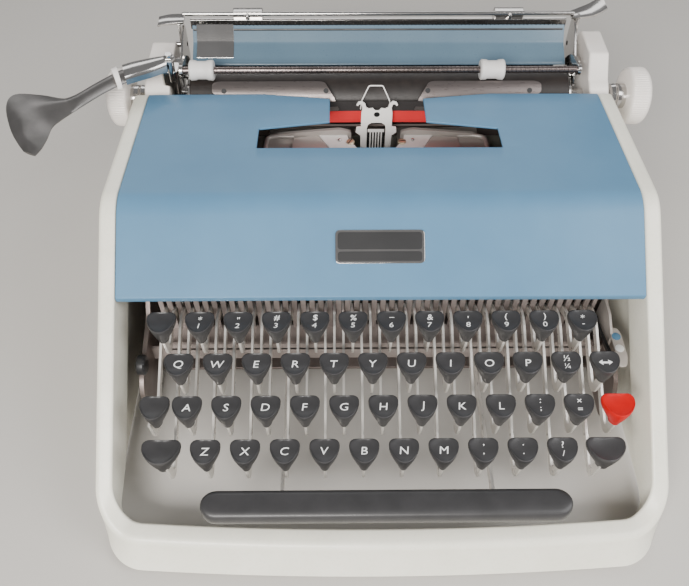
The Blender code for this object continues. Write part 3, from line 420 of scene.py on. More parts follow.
def mesh_of(name, shapes, scale=P):
    """One mesh from several shapes of (points, faces), with its normals facing out."""
    points, faces = [], []
    for shape_points, shape_faces in shapes:
        start = len(points)
        points.extend(scale(*point) for point in shape_points)
        faces.extend([start + i for i in face] for face in shape_faces)
    mesh = bpy.data.meshes.new(name)
    mesh.from_pydata(points, [], faces)
    work = bmesh.new()
    work.from_mesh(mesh)
    bmesh.ops.recalc_face_normals(work, faces=work.faces)
    work.to_mesh(mesh)
    work.free()
    return mesh


def piece(name, shapes, body, look, nodes=None, bevel=0.0, sharp=32.0, mesh=None, at=None):
    """A visible piece on its body, from closed shapes in design millimetres or from a shared mesh.

    Unless nodes are given, it stands in for the node named as its body, or for the machine's frame.
    """
    if nodes is None:
        nodes = ["frame" if body == "machine" else body]
    material, slot = FINISHES[look]
    mesh = mesh or mesh_of(name, shapes)
    if not mesh.materials:
        mesh.materials.append(material)
        mesh.shade_smooth()
        mesh.set_sharp_from_angle(angle=math.radians(sharp))
    item = bpy.data.objects.new(name, mesh)
    bpy.context.scene.collection.objects.link(item)
    if at is not None:
        item.location = at
    if bevel:
        edges = item.modifiers.new("Edges", "BEVEL")
        edges.width = bevel * MM
        edges.segments = 2
        edges.limit_method = "ANGLE"
        edges.angle_limit = math.radians(sharp)
        edges.use_clamp_overlap = True
        edges.harden_normals = True
    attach(item, body)
    if nodes:
        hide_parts(*nodes)
    return item


def screw(x, y, z, radius=2.4, turn=0.0):
    """A domed screw head facing up, and a black bar in its slot that is painted shade."""
    head = revolve("Z", (x, y), [(z - 0.5, radius), (z + 0.5, radius), (z + 0.9, radius * 0.82),
                                 (z + 1.05, radius * 0.4), (z + 1.06, 0.05)], 24)
    long, half = radius * 0.92, 0.28
    slot = [(-long, -half), (long, -half), (long, half), (-long, half)]
    turned = [(x + u * math.cos(turn) - v * math.sin(turn), y + u * math.sin(turn) + v * math.cos(turn))
              for u, v in slot]
    return head, prism(turned, "Z", z + 0.6, z + 1.12)


# ---------------------------------------------------------------- case

def rail_height(y):
    """Height of the case's upper edge, with its crease rounded over."""
    if y <= RAIL_START_Y:
        return FRONT_TOP_Z
    if abs(y - CREASE_Y) < CREASE_BLEND:
        t = (y - CREASE_Y + CREASE_BLEND) / (2 * CREASE_BLEND)
        start = CREASE_Z - SLOPE * CREASE_BLEND
        stop = CREASE_Z + FALL * CREASE_BLEND
        return start * (1 - t) ** 2 + CREASE_Z * 2 * t * (1 - t) + stop * t ** 2
    if y < CREASE_Y:
        return FRONT_TOP_Z + SLOPE * (y - RAIL_START_Y)
    if y <= COVER_REAR_Y + 0.4:
        return CREASE_Z + FALL * (y - CREASE_Y)
    return REAR_DECK_Z


def case_stops():
    """Stops around the case's plan, each with its place, the way inward and its top."""
    blend = [CREASE_Y + CREASE_BLEND * (1 - i / 5) for i in range(11)]
    side_ys = [238.1, 237.9, 237.5, 236.9, 236.0, 215.0, 190.0, 165.0] + blend
    side_ys += [125.0, 105.0, 85.0, 65.0, 45.0, 35.0]
    drop = {238.1: REAR_DECK_Z, 237.9: 105.5, 237.5: 106.7, 236.9: 107.3}
    stops = []

    def corner(side, y, radius, start, stop, steps):
        middle = (side * (HALF_WIDTH - radius), y)
        for x, y_at in arc(middle, radius, start, stop, steps):
            inward = Vector((middle[0] - x, middle[1] - y_at)).normalized()
            stops.append((x, y_at, inward, rail_height(y_at)))

    def side(sign, ys):
        stops.extend((sign * HALF_WIDTH, y, Vector((-sign, 0)), drop.get(y, rail_height(y))) for y in ys)

    corner(-1, CASE_REAR - REAR_CORNER, REAR_CORNER, 90, 180, 8)
    side(-1, side_ys)
    corner(-1, FRONT_TOP_Y + FRONT_CORNER, FRONT_CORNER, 180, 270, 18)
    half_front = HALF_WIDTH - FRONT_CORNER
    for i in range(1, 16):
        stops.append((-half_front + 2 * half_front * i / 16, FRONT_TOP_Y, Vector((0, 1)), FRONT_TOP_Z))
    corner(1, FRONT_TOP_Y + FRONT_CORNER, FRONT_CORNER, 270, 360, 18)
    side(1, side_ys[::-1])
    corner(1, CASE_REAR - REAR_CORNER, REAR_CORNER, 0, 90, 8)
    return stops


def make_case():
    """The case's shell, swept round its plan, with its bottom pan and four rubber feet."""
    rings = []
    for x, y, inward, top in case_stops():
        front = max(0.0, inward.y) ** 2
        width = RAIL_WIDTH + (FRONT_BAR_WIDTH - RAIL_WIDTH) * front
        lean = FRONT_LEAN * front
        bow = FRONT_BOW * front * (1 - (x / HALF_WIDTH) ** 2)
        lip = max(top - LIP_DEPTH, SKIRT_Z + (top - SKIRT_Z) * 0.35)
        outer = RAIL_ROUND + 1.6 * front
        section = [(-lean + 0.9, SKIRT_Z), (-lean, SKIRT_Z + 0.9)]
        section += arc((outer, top - outer), outer, 180, 90, 6)
        section += arc((width - 1.6, top - 1.6), 1.6, 90, 0, 4)
        section += [(width, lip + 0.6), (width - 0.6, lip), (width - SKIN, lip),
                    (width - SKIN, top - SKIN - 1.0), (SKIN + 1.0, top - SKIN - 1.0),
                    (SKIN, top - SKIN - 2.0), (SKIN - lean, SKIRT_Z)]
        rings.append([(x + inward.x * (depth - bow), y + inward.y * (depth - bow), z)
                      for depth, z in section])
    piece("case_shell", [loft(rings, closed=True)], "machine", "cream", ["case"], sharp=40.0)
    rim = soften([(-INNER_HALF, 114.0), (INNER_HALF, 114.0), (INNER_HALF, 293.5), (-INNER_HALF, 293.5)], 8.0)
    ribs = [block(-130.0, 130.0, y, y + 2.5, 5.0, 7.2) for y in (135.0, 180.0, 240.0, 280.0)]
    piece("case_pan", [prism(rim, "Z", 3.4, 5.4)] + ribs, "machine", "steel", ["case"], bevel=0.4)
    foot = [(0.0, 4.6), (0.0, 5.9), (0.8, 6.7), (3.0, 7.0), (3.3, 6.2), (4.0, 6.2), (4.3, 7.0), (6.0, 7.0)]
    feet = []
    for side in (-1, 1):
        for x, y in ((115.0, 6.5), (132.0, 276.0)):
            feet.append(revolve("Z", (side * x, y), foot, 32))
    piece("case_feet", feet, "machine", "rubber", ["case"])


# ---------------------------------------------------------------- cover

def sheet_height(x, y):
    """The cover's surface: the rail line with a slight crown across the sheet."""
    return rail_height(y) - 0.15 + 0.35 * math.cos(math.pi * x / (2 * COVER_HALF))


def make_cover():
    """A folded sheet with turned-down sides, the opening over the type basket and a front hem."""
    outer = [-COVER_HALF, -128.5, -105.0, -85.0]
    mid = [OPENING_X + x for x in (-66.0, -64.6, -45.0, -27.0, -26.0, 0.0, 26.0, 27.0, 45.0, 64.6, 66.0)]
    columns = outer + mid + [-x for x in outer[::-1]]
    front = [COVER_FRONT_Y, 110.0, 120.0, 130.0]
    crease = [CREASE_Y - CREASE_BLEND + CREASE_BLEND * i / 6 for i in range(13)]
    back = [160.0, 173.0, 185.0, 186.4, 194.0, 203.0, 215.0, 226.0, 237.1]
    rows = front + crease + back
    neck_row = {203.0: 209.3, 215.0: 218.0, 226.0: 226.0, 237.1: 232.0}
    neck = {OPENING_X + x for x in (-27.0, -26.0, 0.0, 26.0, 27.0)}

    def point(x, y):
        near = abs(x - OPENING_X)
        at = y
        if y >= OPENING_REAR_Y and near <= OPENING_HALF:
            share = max(0.0, 1 - max(0.0, near - THROAT_HALF) / (OPENING_HALF - THROAT_HALF))
            at = y + (neck_row[y] - y) * (share if x not in neck else 1.0)
        return x, at, sheet_height(x, at)

    points = [point(x, y) for x in columns for y in rows]
    count = len(rows)
    faces = []
    low = rows.index(OPENING_FRONT_Y)
    side = rows.index(OPENING_REAR_Y)
    for i in range(len(columns) - 1):
        middle = (columns[i] + columns[i + 1]) / 2 - OPENING_X
        for j in range(count - 1):
            wide = abs(middle) < OPENING_HALF and low <= j < side
            throat = abs(middle) < THROAT_HALF and j >= side
            if not (wide or throat):
                start = i * count + j
                faces.append([start, start + 1, start + count + 1, start + count])
    for edge, x in ((0, -COVER_HALF), (len(columns) - 1, COVER_HALF)):
        start = len(points)
        drops = [min(8.0, 2.5 + (y - COVER_FRONT_Y) * 0.5) for y in rows]
        points += [(x, y, sheet_height(x, y) - drop) for y, drop in zip(rows, drops)]
        for j in range(count - 1):
            faces.append([edge * count + j, edge * count + j + 1, start + j + 1, start + j])
    hem = len(points)
    points += [(x, COVER_FRONT_Y + 0.3, sheet_height(x, COVER_FRONT_Y) - 3.2) for x in columns]
    for i in range(len(columns) - 1):
        faces.append([i * count, (i + 1) * count, hem + i + 1, hem + i])
    cover = piece("top_cover_sheet", [(points, faces)], "top_cover", "blue", sharp=35.0)
    wall = cover.modifiers.new("Sheet", "SOLIDIFY")
    wall.thickness = COVER_SHEET * MM
    wall.offset = -1.0
    edges = cover.modifiers.new("Edges", "BEVEL")
    edges.width = 0.7 * MM
    edges.segments = 3
    edges.limit_method = "ANGLE"
    edges.angle_limit = math.radians(50.0)
    make_badge()


def make_badge():
    """A plain plate on the front slope: a bright rim round two dark fields."""
    centre = Vector((-0.6, 123.3, 101.0))
    up = Vector((0.0, 1.0, SLOPE)).normalized()
    out = Vector((0.0, -SLOPE, 1.0)).normalized()

    def field(half_width, low, high, radius, floor, top):
        outline = soften([(-half_width, low), (half_width, low), (half_width, high), (-half_width, high)],
                         radius)
        flat, faces = prism(outline, "Z", floor, top)
        return [tuple(centre + Vector((u, 0, 0)) + up * v + out * w) for u, v, w in flat], faces

    piece("badge_plate", [field(22.2, -8.4, 8.4, 2.6, -0.6, 1.0)], "top_cover", "chrome", nodes=(),
          bevel=0.3)
    piece("badge_fields", [field(20.9, -1.4, 7.2, 1.6, 0.5, 1.18), field(20.9, -7.2, -2.4, 1.6, 0.5, 1.18)],
          "top_cover", "black", nodes=(), bevel=0.15)


# ---------------------------------------------------------------- keys

def shield(width, depth):
    """A cap's outline: a straight rear edge with round corners, drawn in to a round front."""
    half = width / 2
    corner = 3.2
    rear = depth / 2
    shoulder = depth * 0.16
    front = [(half * math.cos(a), shoulder - (shoulder + rear) * math.sin(a) ** 1.35)
             for a in (math.pi * i / 20 for i in range(1, 20))]
    straight = [((half - corner) * (i / 4 - 1), rear) for i in range(1, 8)]
    return (arc((half - corner, rear - corner), corner, 90, 0, 5) + front
            + arc((corner - half, rear - corner), corner, 180, 90, 5) + straight)


def dish_drop(x, y, width, depth):
    """How far the cap's face lies below its rim."""
    reach = min(1.0, math.hypot(x / (width / 2), (y - depth * 0.04) / (depth / 2)))
    return DISH * (1 - reach ** 2)


def cap(width=CAP_WIDTH, depth=CAP_DEPTH):
    """A dished cap that narrows like a funnel to the neck that holds the lever."""
    outline = shield(width, depth)
    rings = []
    for size in (0.02, 0.2, 0.4, 0.6, 0.76, 0.88):
        inner = [(x * size, y * size) for x, y in outline]
        rings.append([(x, y, -dish_drop(x, y, width, depth)) for x, y in inner])
    for size, drop, shift in ((0.93, 0.02, 0.0), (0.97, 0.14, 0.0), (0.995, 0.5, 0.0), (1.0, 1.1, 0.0),
                              (0.985, 2.2, -0.05), (0.95, 3.2, -0.2), (0.88, 4.4, -0.5),
                              (0.76, 5.9, -1.1), (0.62, 7.4, -1.8), (0.50, 8.8, -2.3),
                              (0.41, 10.0, -2.6), (0.37, CAP_HEIGHT, -2.7)):
        rings.append([(x * size, y * size + shift, -drop) for x, y in outline])
    return loft(rings)


def lever_height(y):
    """Height of a key lever's straight run at a place along it."""
    return 22.0 + 0.5 * (y - FRONT_ROW_Y)


def shaft_hook():
    """The open eye at a lever's rear end, over the lever shaft."""
    hook = arc((SHAFT_Y, SHAFT_Z), 2.0, 180, 0, 8)
    hook += [(SHAFT_Y + 2.0, HOOK_LOW), (SHAFT_Y + 4.2, HOOK_LOW)]
    hook += arc((SHAFT_Y, SHAFT_Z), 4.2, 0, 180, 10)
    return hook + [(SHAFT_Y - 4.2, HOOK_LOW), (SHAFT_Y - 2.0, HOOK_LOW)]


def lever(y, stem_top):
    """A key lever: stem, straight run through the comb, swan neck, and the hook over the lever shaft."""
    path = [(y - 2.6, stem_top), (y - 0.4, lever_height(y) + 1.0), (112.0, lever_height(112.0)),
            (126.0, 50.0), (134.0, 26.0), (211.0, SHAFT_Z)]
    path = soften(path, 7.0, closed=False, steps=5)
    half = LEVER_THICKNESS / 2
    return [strip(path, LEVER_HEIGHT, "X", -half, half), prism(shaft_hook(), "X", -half, half)]


def millimetres(x, y, z):
    """A point of a shared mesh, in its own frame, in metres."""
    return Vector((x, y, z)) * MM


def legend(text, size, x, y, width=CAP_WIDTH, depth=CAP_DEPTH):
    """White lettering laid on the cap's dished face, as a shape in cap coordinates."""
    curve = bpy.data.curves.new("legend", "FONT")
    curve.body = text
    curve.size = size
    curve.shear = 0.10
    curve.align_x = "CENTER"
    curve.align_y = "CENTER"
    curve.resolution_u = 3
    item = bpy.data.objects.new("legend", curve)
    bpy.context.scene.collection.objects.link(item)
    bpy.context.view_layer.update()
    flat = bpy.data.meshes.new_from_object(item.evaluated_get(bpy.context.evaluated_depsgraph_get()))
    bpy.data.objects.remove(item)
    bpy.data.curves.remove(curve)
    work = bmesh.new()
    work.from_mesh(flat)
    bmesh.ops.remove_doubles(work, verts=work.verts, dist=0.0005)
    bmesh.ops.triangulate(work, faces=work.faces)
    work.verts.index_update()
    points = []
    middle = [sum(pick(vert.co[axis] for vert in work.verts) for pick in (min, max)) / 2
              for axis in (0, 1)]
    for vert in work.verts:
        px = (vert.co.x - middle[0]) * 1.12 + x
        py = vert.co.y - middle[1] + y
        points.append((px, py, 0.07 - dish_drop(px, py, width, depth)))
    faces = [[vert.index for vert in face.verts] for face in work.faces]
    work.free()
    bpy.data.meshes.remove(flat)
    top = list(points)
    count = len(top)
    points += [(px, py, pz - 0.12) for px, py, pz in top]
    edges = {}
    for face in faces:
        for i, a in enumerate(face):
            b = face[(i + 1) % len(face)]
            edges[(a, b)] = edges.get((a, b), 0) + 1
    walls = [[b, a, a + count, b + count] for a, b in edges if (b, a) not in edges]
    return points, faces + [[i + count for i in face[::-1]] for face in faces] + walls


ROWS = {
    3: (0.0, ["1", "2", "3", "4", "5", "6", "7", "8", "9", "0", "minus"]),
    2: (-PITCH / 2, list("qwertyuiop") + ["fraction"]),
    1: (-PITCH / 4, list("asdfghjkl") + ["semicolon", "equals"]),
    0: (PITCH / 4, list("zxcvbnm") + ["comma", "period", "slash"]),
}
PAIRS = {"1": "*1", "2": '"2', "3": "#3", "4": "$4", "5": "%5", "6": "_6", "7": "&7", "8": "'8", "9": "(9",
         "0": ")0", "minus": "*-", "fraction": "½¼", "semicolon": ":;", "equals": "×=",
         "comma": ",,", "period": "..", "slash": "?/"}

SHIFT_KEYS = (
    ("shift_lock", 1, -1, 3.4, CAP_WIDTH),
    ("shift_left", 0, -1, -2.0, SHIFT_CAP_WIDTH),
    ("shift_right", 0, 10, 1.9, SHIFT_CAP_WIDTH),
)


def key_x(row, column):
    """A key's place across the keyboard; column -1 is left of the row's first character."""
    return FIRST_KEY_X + ROWS[row][0] + PITCH * column


def row_place(row):
    """A row's place and the height of its caps; row 0 is the front one."""
    return FRONT_ROW_Y + ROW_RUN * row, FRONT_ROW_Z + ROW_RISE * row


def place_key(name, body, row, x, meshes, cap_shift=0.0, width=CAP_WIDTH, look="key"):
    """One key from the shared meshes of its row: the cap and its lever."""
    y, top = row_place(row)
    shape, lever_row = ("cap", width, look), ("lever", row)
    if shape not in meshes:
        meshes[shape] = mesh_of("cap", [cap(width)], millimetres)
    if lever_row not in meshes:
        meshes[lever_row] = mesh_of("lever", lever(y, top - STEM_DROP), millimetres)
    piece(name + "_cap", None, body, look, mesh=meshes[shape], at=P(x + cap_shift, y, top))
    piece(name + "_lever", None, body, "lever", mesh=meshes[lever_row], at=P(x, 0.0, 0.0))


def make_keys():
    """The characters' keys with their legends, and the single keys at the keyboard's sides."""
    meshes = {}
    for row in ROWS:
        names = ROWS[row][1]
        y, top = row_place(row)
        for column, name in enumerate(names):
            body = "key_" + name
            x = key_x(row, column)
            place_key(body, body, row, x, meshes)
            marks = PAIRS.get(name, name.upper())
            if len(marks) == 1:
                shapes = [legend(marks, 5.7, 0.0, 0.4)]
            else:
                shapes = [legend(marks[0], 4.4, 0.2, 2.9), legend(marks[1], 4.4, -0.2, -1.6)]
            mesh = mesh_of(body + "_legend", shapes, millimetres)
            piece(body + "_legend", None, body, "ink", nodes=(), mesh=mesh, at=P(x, y, top))
    place_key("margin_release_key", "margin_release_key", 3, key_x(3, -1), meshes)
    place_key("backspace_key", "backspace_key", 2, key_x(2, 11), meshes)
    y, top = row_place(2)
    tips = [(-3.4, 0.0), (-1.4, 1.5), (-1.4, 0.5), (1.4, 0.5), (1.4, 1.5)]
    flat, faces = prism(tips + [(-u, -v) for u, v in tips], "Z", -0.1, 0.06)
    raised = [(u, v + 0.4, w - dish_drop(u, v, CAP_WIDTH, CAP_DEPTH)) for u, v, w in flat]
    piece("backspace_legend", None, "backspace_key", "ink", nodes=(),
          mesh=mesh_of("backspace_legend", [(raised, faces)], millimetres), at=P(key_x(2, 11), y, top))
    place_key("tab_key", "tab_key", 1, key_x(1, 11), meshes, width=TAB_CAP_WIDTH, look="red")
    links = [rod("X", SHIFT_TUBE, 1.2, key_x(1, -1) - 1.0, key_x(0, 10) + 1.0, 16)]
    for name, row, column, shift, width in SHIFT_KEYS:
        x = key_x(row, column)
        place_key(name, "shift_keys", row, x, meshes, shift, width)
        links.append(block(x - 0.5, x + 0.5, 217.6, 219.0, 7.1, SHAFT_Z))
        links.append(block(x - 0.5, x + 0.5, 214.2, 219.0, 7.0, 8.2))
    piece("shift_tube", links, "shift_keys", "typebar")


def make_space_bar():
    """A long moulded bar, crowned across and round at its ends, on two levers."""
    half, radius = 87.2, 7.25
    rings = []
    for size, z in ((0.80, 35.0), (0.93, 35.6), (1.0, 37.6), (1.0, 39.6), (0.97, 41.4), (0.90, 42.7),
                    (0.76, 43.5), (0.52, 43.9), (0.2, 44.0)):
        ends = []
        for x, y in arc((half - radius, 0.0), radius, -90, 90, 12):
            ends.append((x - (1 - size) * 2.2, y * size))
        for x, y in arc((radius - half, 0.0), radius, 90, 270, 12):
            ends.append((x + (1 - size) * 2.2, y * size))
        rings.append([(0.8 + x, 15.6 + y, z) for x, y in ends])
    piece("space_bar_body", [loft(rings)], "space_bar", "key", sharp=40.0)
    shapes = []
    for steps in (13.5, 35.5):
        x = key_x(1, -1) + steps * PITCH / 4
        path = soften([(15.6, 38.0), (15.6, 24.0), (211.0, SHAFT_Z)], 7.0, closed=False)
        shapes.append(strip(path, LEVER_HEIGHT, "X", x - 0.8, x + 0.8))
        shapes.append(prism(shaft_hook(), "X", x - 0.8, x + 0.8))
    piece("space_bar_arms", shapes, "space_bar", "lever")


# ---------------------------------------------------------------- frame

def mirrored(outline, side):
    """A plan outline on one side of the printing point."""
    return [(PRINT_X + side * x, y) for x, y in outline]


def comb_shapes():
    """The comb's front plate, its step to the rear and the slotted plate that the levers pass."""
    low = COMB_STEP_Z - COMB_SHEET
    front = [(-FRAME_HALF, 28.0), (FRAME_HALF, 28.0), (FRAME_HALF, COMB_STEP_Z), (COMB_HALF, COMB_STEP_Z),
             (COMB_HALF, 42.0), (-COMB_HALF, 42.0), (-COMB_HALF, COMB_STEP_Z), (-FRAME_HALF, COMB_STEP_Z)]
    slotted = [(-COMB_HALF, low), (COMB_HALF, low), (COMB_HALF, COMB_TOP_Z)]
    places = sorted((key_x(row, column) for row in ROWS for column in range(-1, 12)), reverse=True)
    for x in (x for x in places if abs(x) < COMB_HALF - 1.5):
        right, left = x + SLOT_HALF, x - SLOT_HALF
        slotted += [(right, COMB_TOP_Z), (right, COMB_STEP_Z), (left, COMB_STEP_Z), (left, COMB_TOP_Z)]
    slotted.append((-COMB_HALF, COMB_TOP_Z))
    return [prism(front, "Y", COMB_Y, COMB_Y + COMB_SHEET),
            block(-COMB_HALF, COMB_HALF, COMB_Y, COMB_REAR, low, COMB_STEP_Z),
            prism(slotted, "Y", COMB_REAR, COMB_REAR + COMB_SHEET)]


def make_frame():
    """Side plates, comb, lever shaft, beam and shelves: the machine's steel skeleton."""
    shapes = [block(-FRAME_HALF, FRAME_HALF, 262.0, 286.5, 56.0, 67.5),
              rod("X", (SHAFT_Y, SHAFT_Z), 1.6, -FRAME_HALF, FRAME_HALF),
              rod("X", (270.0, 30.0), 4.0, -INNER_HALF, INNER_HALF),
              rod("X", (150.0, 30.0), 4.0, -INNER_HALF, -PLATE_INSIDE),
              rod("X", (150.0, 30.0), 4.0, PLATE_INSIDE, INNER_HALF)]
    plate = soften([(78.0, 8.0), (285.5, 8.0), (285.5, 66.5), (135.0, 66.5), (118.0, 50.0), (84.0, 42.0),
                    (78.0, 34.0)], 4.0)
    for side in (-1, 1):
        shapes.append(prism(plate, "X", *sorted((side * PLATE_INSIDE, side * PLATE_OUTSIDE))))
        shapes.append(block(*sorted((side * FRAME_HALF, side * 61.0)), 143.0, 187.0, 64.0, 66.0))
        for y in (150.0, 270.0):
            ends = sorted((side * PLATE_OUTSIDE, side * (INNER_HALF + 0.1)))
            shapes.append(rod("X", (y, 30.0), 5.0, *ends))
    piece("frame_plates", shapes, "machine", "steel", bevel=0.4)
    piece("comb", comb_shapes(), "machine", "comb")
    springs = []
    for row in ROWS:
        for column in range(len(ROWS[row][1])):
            x = key_x(row, column)
            springs.append(helix((x, 153.0, 12.0), (x, 161.0, 9.0), 1.3, 6, 0.3, 8))
    piece("key_springs", springs, "machine", "typebar")
    rest = [tube([(-PLATE_INSIDE, 128.0, 9.0), (PLATE_INSIDE, 128.0, 9.0)], 1.6),
            block(-PLATE_INSIDE, PLATE_INSIDE, 159.0, 163.0, 6.8, 9.8)]
    piece("lever_rest", rest, "machine", "steel")


def make_spools():
    """Two ribbon spools in their cups, with the wound ribbon between the flanges."""
    for side, name in ((-1, "left"), (1, "right")):
        centre = (side * SPOOL_X, SPOOL_Y)
        cup = [(66.0, 25.0), (84.0, 25.0), (84.4, 24.7), (84.4, 24.2), (84.0, 24.0), (67.2, 24.0),
               (67.0, 2.0)]
        piece("spool_cup_" + name, [revolve("Z", centre, cup, 64)], "machine", "steel")
        low = [(67.6, 3.0), (67.6, 22.4), (68.6, 22.6), (69.0, 22.4), (69.0, 6.0), (83.6, 6.0), (83.6, 22.4),
               (84.2, 22.6), (85.2, 22.2), (85.2, 8.0), (86.0, 7.4), (86.0, 3.0)]
        piece("spool_" + name, [revolve("Z", centre, low, 64)], "machine", "black")
        wound = []
        for turn in range(15):
            radius = (20.0 if side < 0 else 15.0) - turn * 0.55
            wound.append(revolve("Z", centre, [(69.6, radius - 0.3), (69.8, radius), (82.4, radius),
                                               (82.8, radius - 0.3)], 48))
        piece("ribbon_winding_" + name, wound, "machine", "rubber")
        nut = [(85.0, 4.2), (86.6, 4.2), (87.4, 3.4), (87.4, 0.05)]
        piece("spool_nut_" + name, [revolve("Z", centre, nut, 24)], "machine", "bright")


def make_ribbon():
    """The inked ribbon from spool to spool, in front of the platen; its lower half is red."""
    path = [(-106.0, 177.0), (-78.0, 230.0), (-68.0, 235.4), (-27.0, 236.4), (-9.0, 236.6)]
    path = path + [(PRINT_X * 2 - x, y) for x, y in path[::-1]]
    path = soften(path, 4.0, closed=False, steps=5)
    low, high = 87.5, 102.7
    points = []
    for x, y in path:
        inner = min(1.0, max(0.0, (y - 177.0) / 50.0))
        base = 70.0 + (low - 70.0) * inner
        points += [(x, y, base), (x, y, base + 7.6), (x, y, base + high - low)]
    faces = []
    for i in range(len(path) - 1):
        a = i * 3
        faces += [[a, a + 3, a + 4, a + 1], [a + 1, a + 4, a + 5, a + 2]]
    mesh = mesh_of("ink_ribbon", [(points, faces)])
    FINISHES["ribbon"] = (woven("ribbon_cloth", (0.62, 0.018, 0.022), (0.025, 0.022, 0.022),
                                P(0.0, 0.0, 95.8).z), "frame_steel")
    ribbon = piece("ink_ribbon", None, "machine", "ribbon", nodes=(), mesh=mesh)


def card_outline(side):
    """A card plate unrolled: place along the platen and angle above the horizontal, in degrees."""
    return [(PRINT_X + side * x, angle) for x, angle in
            ((22.0, 13.0), (25.0, 34.0), (30.5, 60.0), (33.0, 62.5), (94.0, 62.5), (97.0, 58.0), (97.0, 44.0),
             (94.0, 38.0), (78.0, 30.0), (55.0, 19.0), (36.0, 12.0))]


def rolled(outline, inner, outer):
    """A plate curved about the platen's axis, from an outline of x and angle."""
    dense = soften(outline, 2.5, steps=3)
    dense = [tuple(Vector(a).lerp(Vector(b), t / 4)) for a, b in zip(dense, dense[1:] + dense[:1])
             for t in range(4)]
    work = bmesh.new()
    work.faces.new([work.verts.new((x, angle, 0.0)) for x, angle in dense])
    for angle in range(16, 62, 4):
        bmesh.ops.bisect_plane(work, geom=work.verts[:] + work.edges[:] + work.faces[:],
                               plane_co=(0.0, angle, 0.0), plane_no=(0.0, 1.0, 0.0))
    work.verts.index_update()
    count = len(work.verts)
    points = []
    for radius in (inner, outer):
        for vert in work.verts:
            turn = math.radians(180 - vert.co.y)
            points.append((vert.co.x, PLATEN[0] + radius * math.cos(turn),
                           PLATEN[1] + radius * math.sin(turn)))
    faces = []
    for face in work.faces:
        ids = [vert.index for vert in face.verts]
        faces += [ids, [i + count for i in ids[::-1]]]
    for edge in work.edges:
        if len(edge.link_faces) == 1:
            a, b = (vert.index for vert in edge.verts)
            faces.append([a, b, b + count, a + count])
    work.free()
    return points, faces


def make_printing_point():
    """Card plates, guide plates, ribbon vibrator guides and the wire that holds the card."""
    cards, plates, ends, screws, slots, pins, holes, arms = [], [], [], [], [], [], [], []
    hole_angle = math.radians(180 - 46)
    way = Vector((0.0, math.cos(hole_angle), math.sin(hole_angle)))
    for side in (-1, 1):
        cards.append(rolled(card_outline(side), 19.1, 20.3))
        # Painted shade: short black stubs in the card plates stand for the dark seen through their holes.
        for x in (30.0, 90.0):
            spot = Vector((PRINT_X + side * x, *PLATEN)) + way * 20.4
            holes.append(tube([spot - way * 0.5, spot + way * 0.12], 1.5, 20))
        bright = [(10.2, 207.0), (27.0, 207.0), (28.0, 222.0), (35.0, 234.5), (17.5, 234.5), (16.5, 230.0),
                  (10.6, 221.0)]
        plates.append(prism(soften(mirrored(bright, side), 1.0), "Z", 77.8, 79.6))
        inner_step = [(26.0, 207.0), (49.0, 207.0), (52.0, 214.0), (50.0, 233.0), (34.0, 235.0),
                      (27.0, 222.0)]
        ends.append(prism(soften(mirrored(inner_step, side), 1.0), "Z", 77.5, 79.0))
        outer_step = [(50.0, 209.0), (66.0, 209.0), (67.0, 212.0), (67.0, 231.0), (64.0, 235.0),
                      (50.0, 235.0)]
        ends.append(prism(soften(mirrored(outer_step, side), 2.0), "Z", 75.5, 77.2))
        rim = [(50.0, 209.0, 78.4), (62.0, 208.5, 78.6), (66.5, 211.0, 78.6), (67.0, 222.0, 78.6),
               (66.5, 233.0, 78.6), (60.0, 235.0, 78.4), (50.0, 235.0, 78.0)]
        rim = [(PRINT_X + side * x, y, z) for x, y, z in rim]
        arms.append(tube(soften(rim, 3.0, closed=False), 1.5, 12))
        ends_x = sorted((PRINT_X + side * 15.0, PRINT_X + side * 67.0))
        arms.append(block(*ends_x, 233.2, 264.0, 60.0, 64.0))
        riser = [(15.0, 61.0), (67.0, 61.0), (67.0, 76.0), (60.0, 80.5), (22.0, 84.0), (15.0, 82.0)]
        arms.append(prism(soften(mirrored(riser, side), 1.5), "Y", 234.0, 236.0))
        head, slot = screw(PRINT_X + side * 15.6, 227.6, 79.6, 2.5, 1.1 if side < 0 else 0.2)
        screws.append(head)
        slots.append(slot)
        pin = [(79.0, 1.0), (80.6, 1.0), (81.0, 0.6), (81.1, 0.05)]
        pins.append(revolve("Z", (PRINT_X + side * 22.2, 229.0), pin, 20))
    piece("card_plates", cards, "machine", "card", sharp=50.0)
    piece("card_holes", holes + slots, "machine", "black")
    piece("guide_plates", plates, "machine", "bright", bevel=0.3)
    piece("guide_steps", ends, "machine", "satin", bevel=0.4)
    piece("guide_risers", arms, "machine", "satin", bevel=0.3)
    piece("guide_screws", screws, "machine", "brass")
    piece("guide_pins", pins, "machine", "chrome")
    bail = [(-7.6, 236.8, 97.0), (-7.0, 236.9, 103.0), (-2.8, 239.4, 111.6), (5.2, 239.4, 111.6),
            (9.4, 236.9, 103.0), (10.0, 236.8, 97.0)]
    piece("card_wire", [tube(soften(bail, 1.0, closed=False), 0.36, 8)], "machine", "bright")


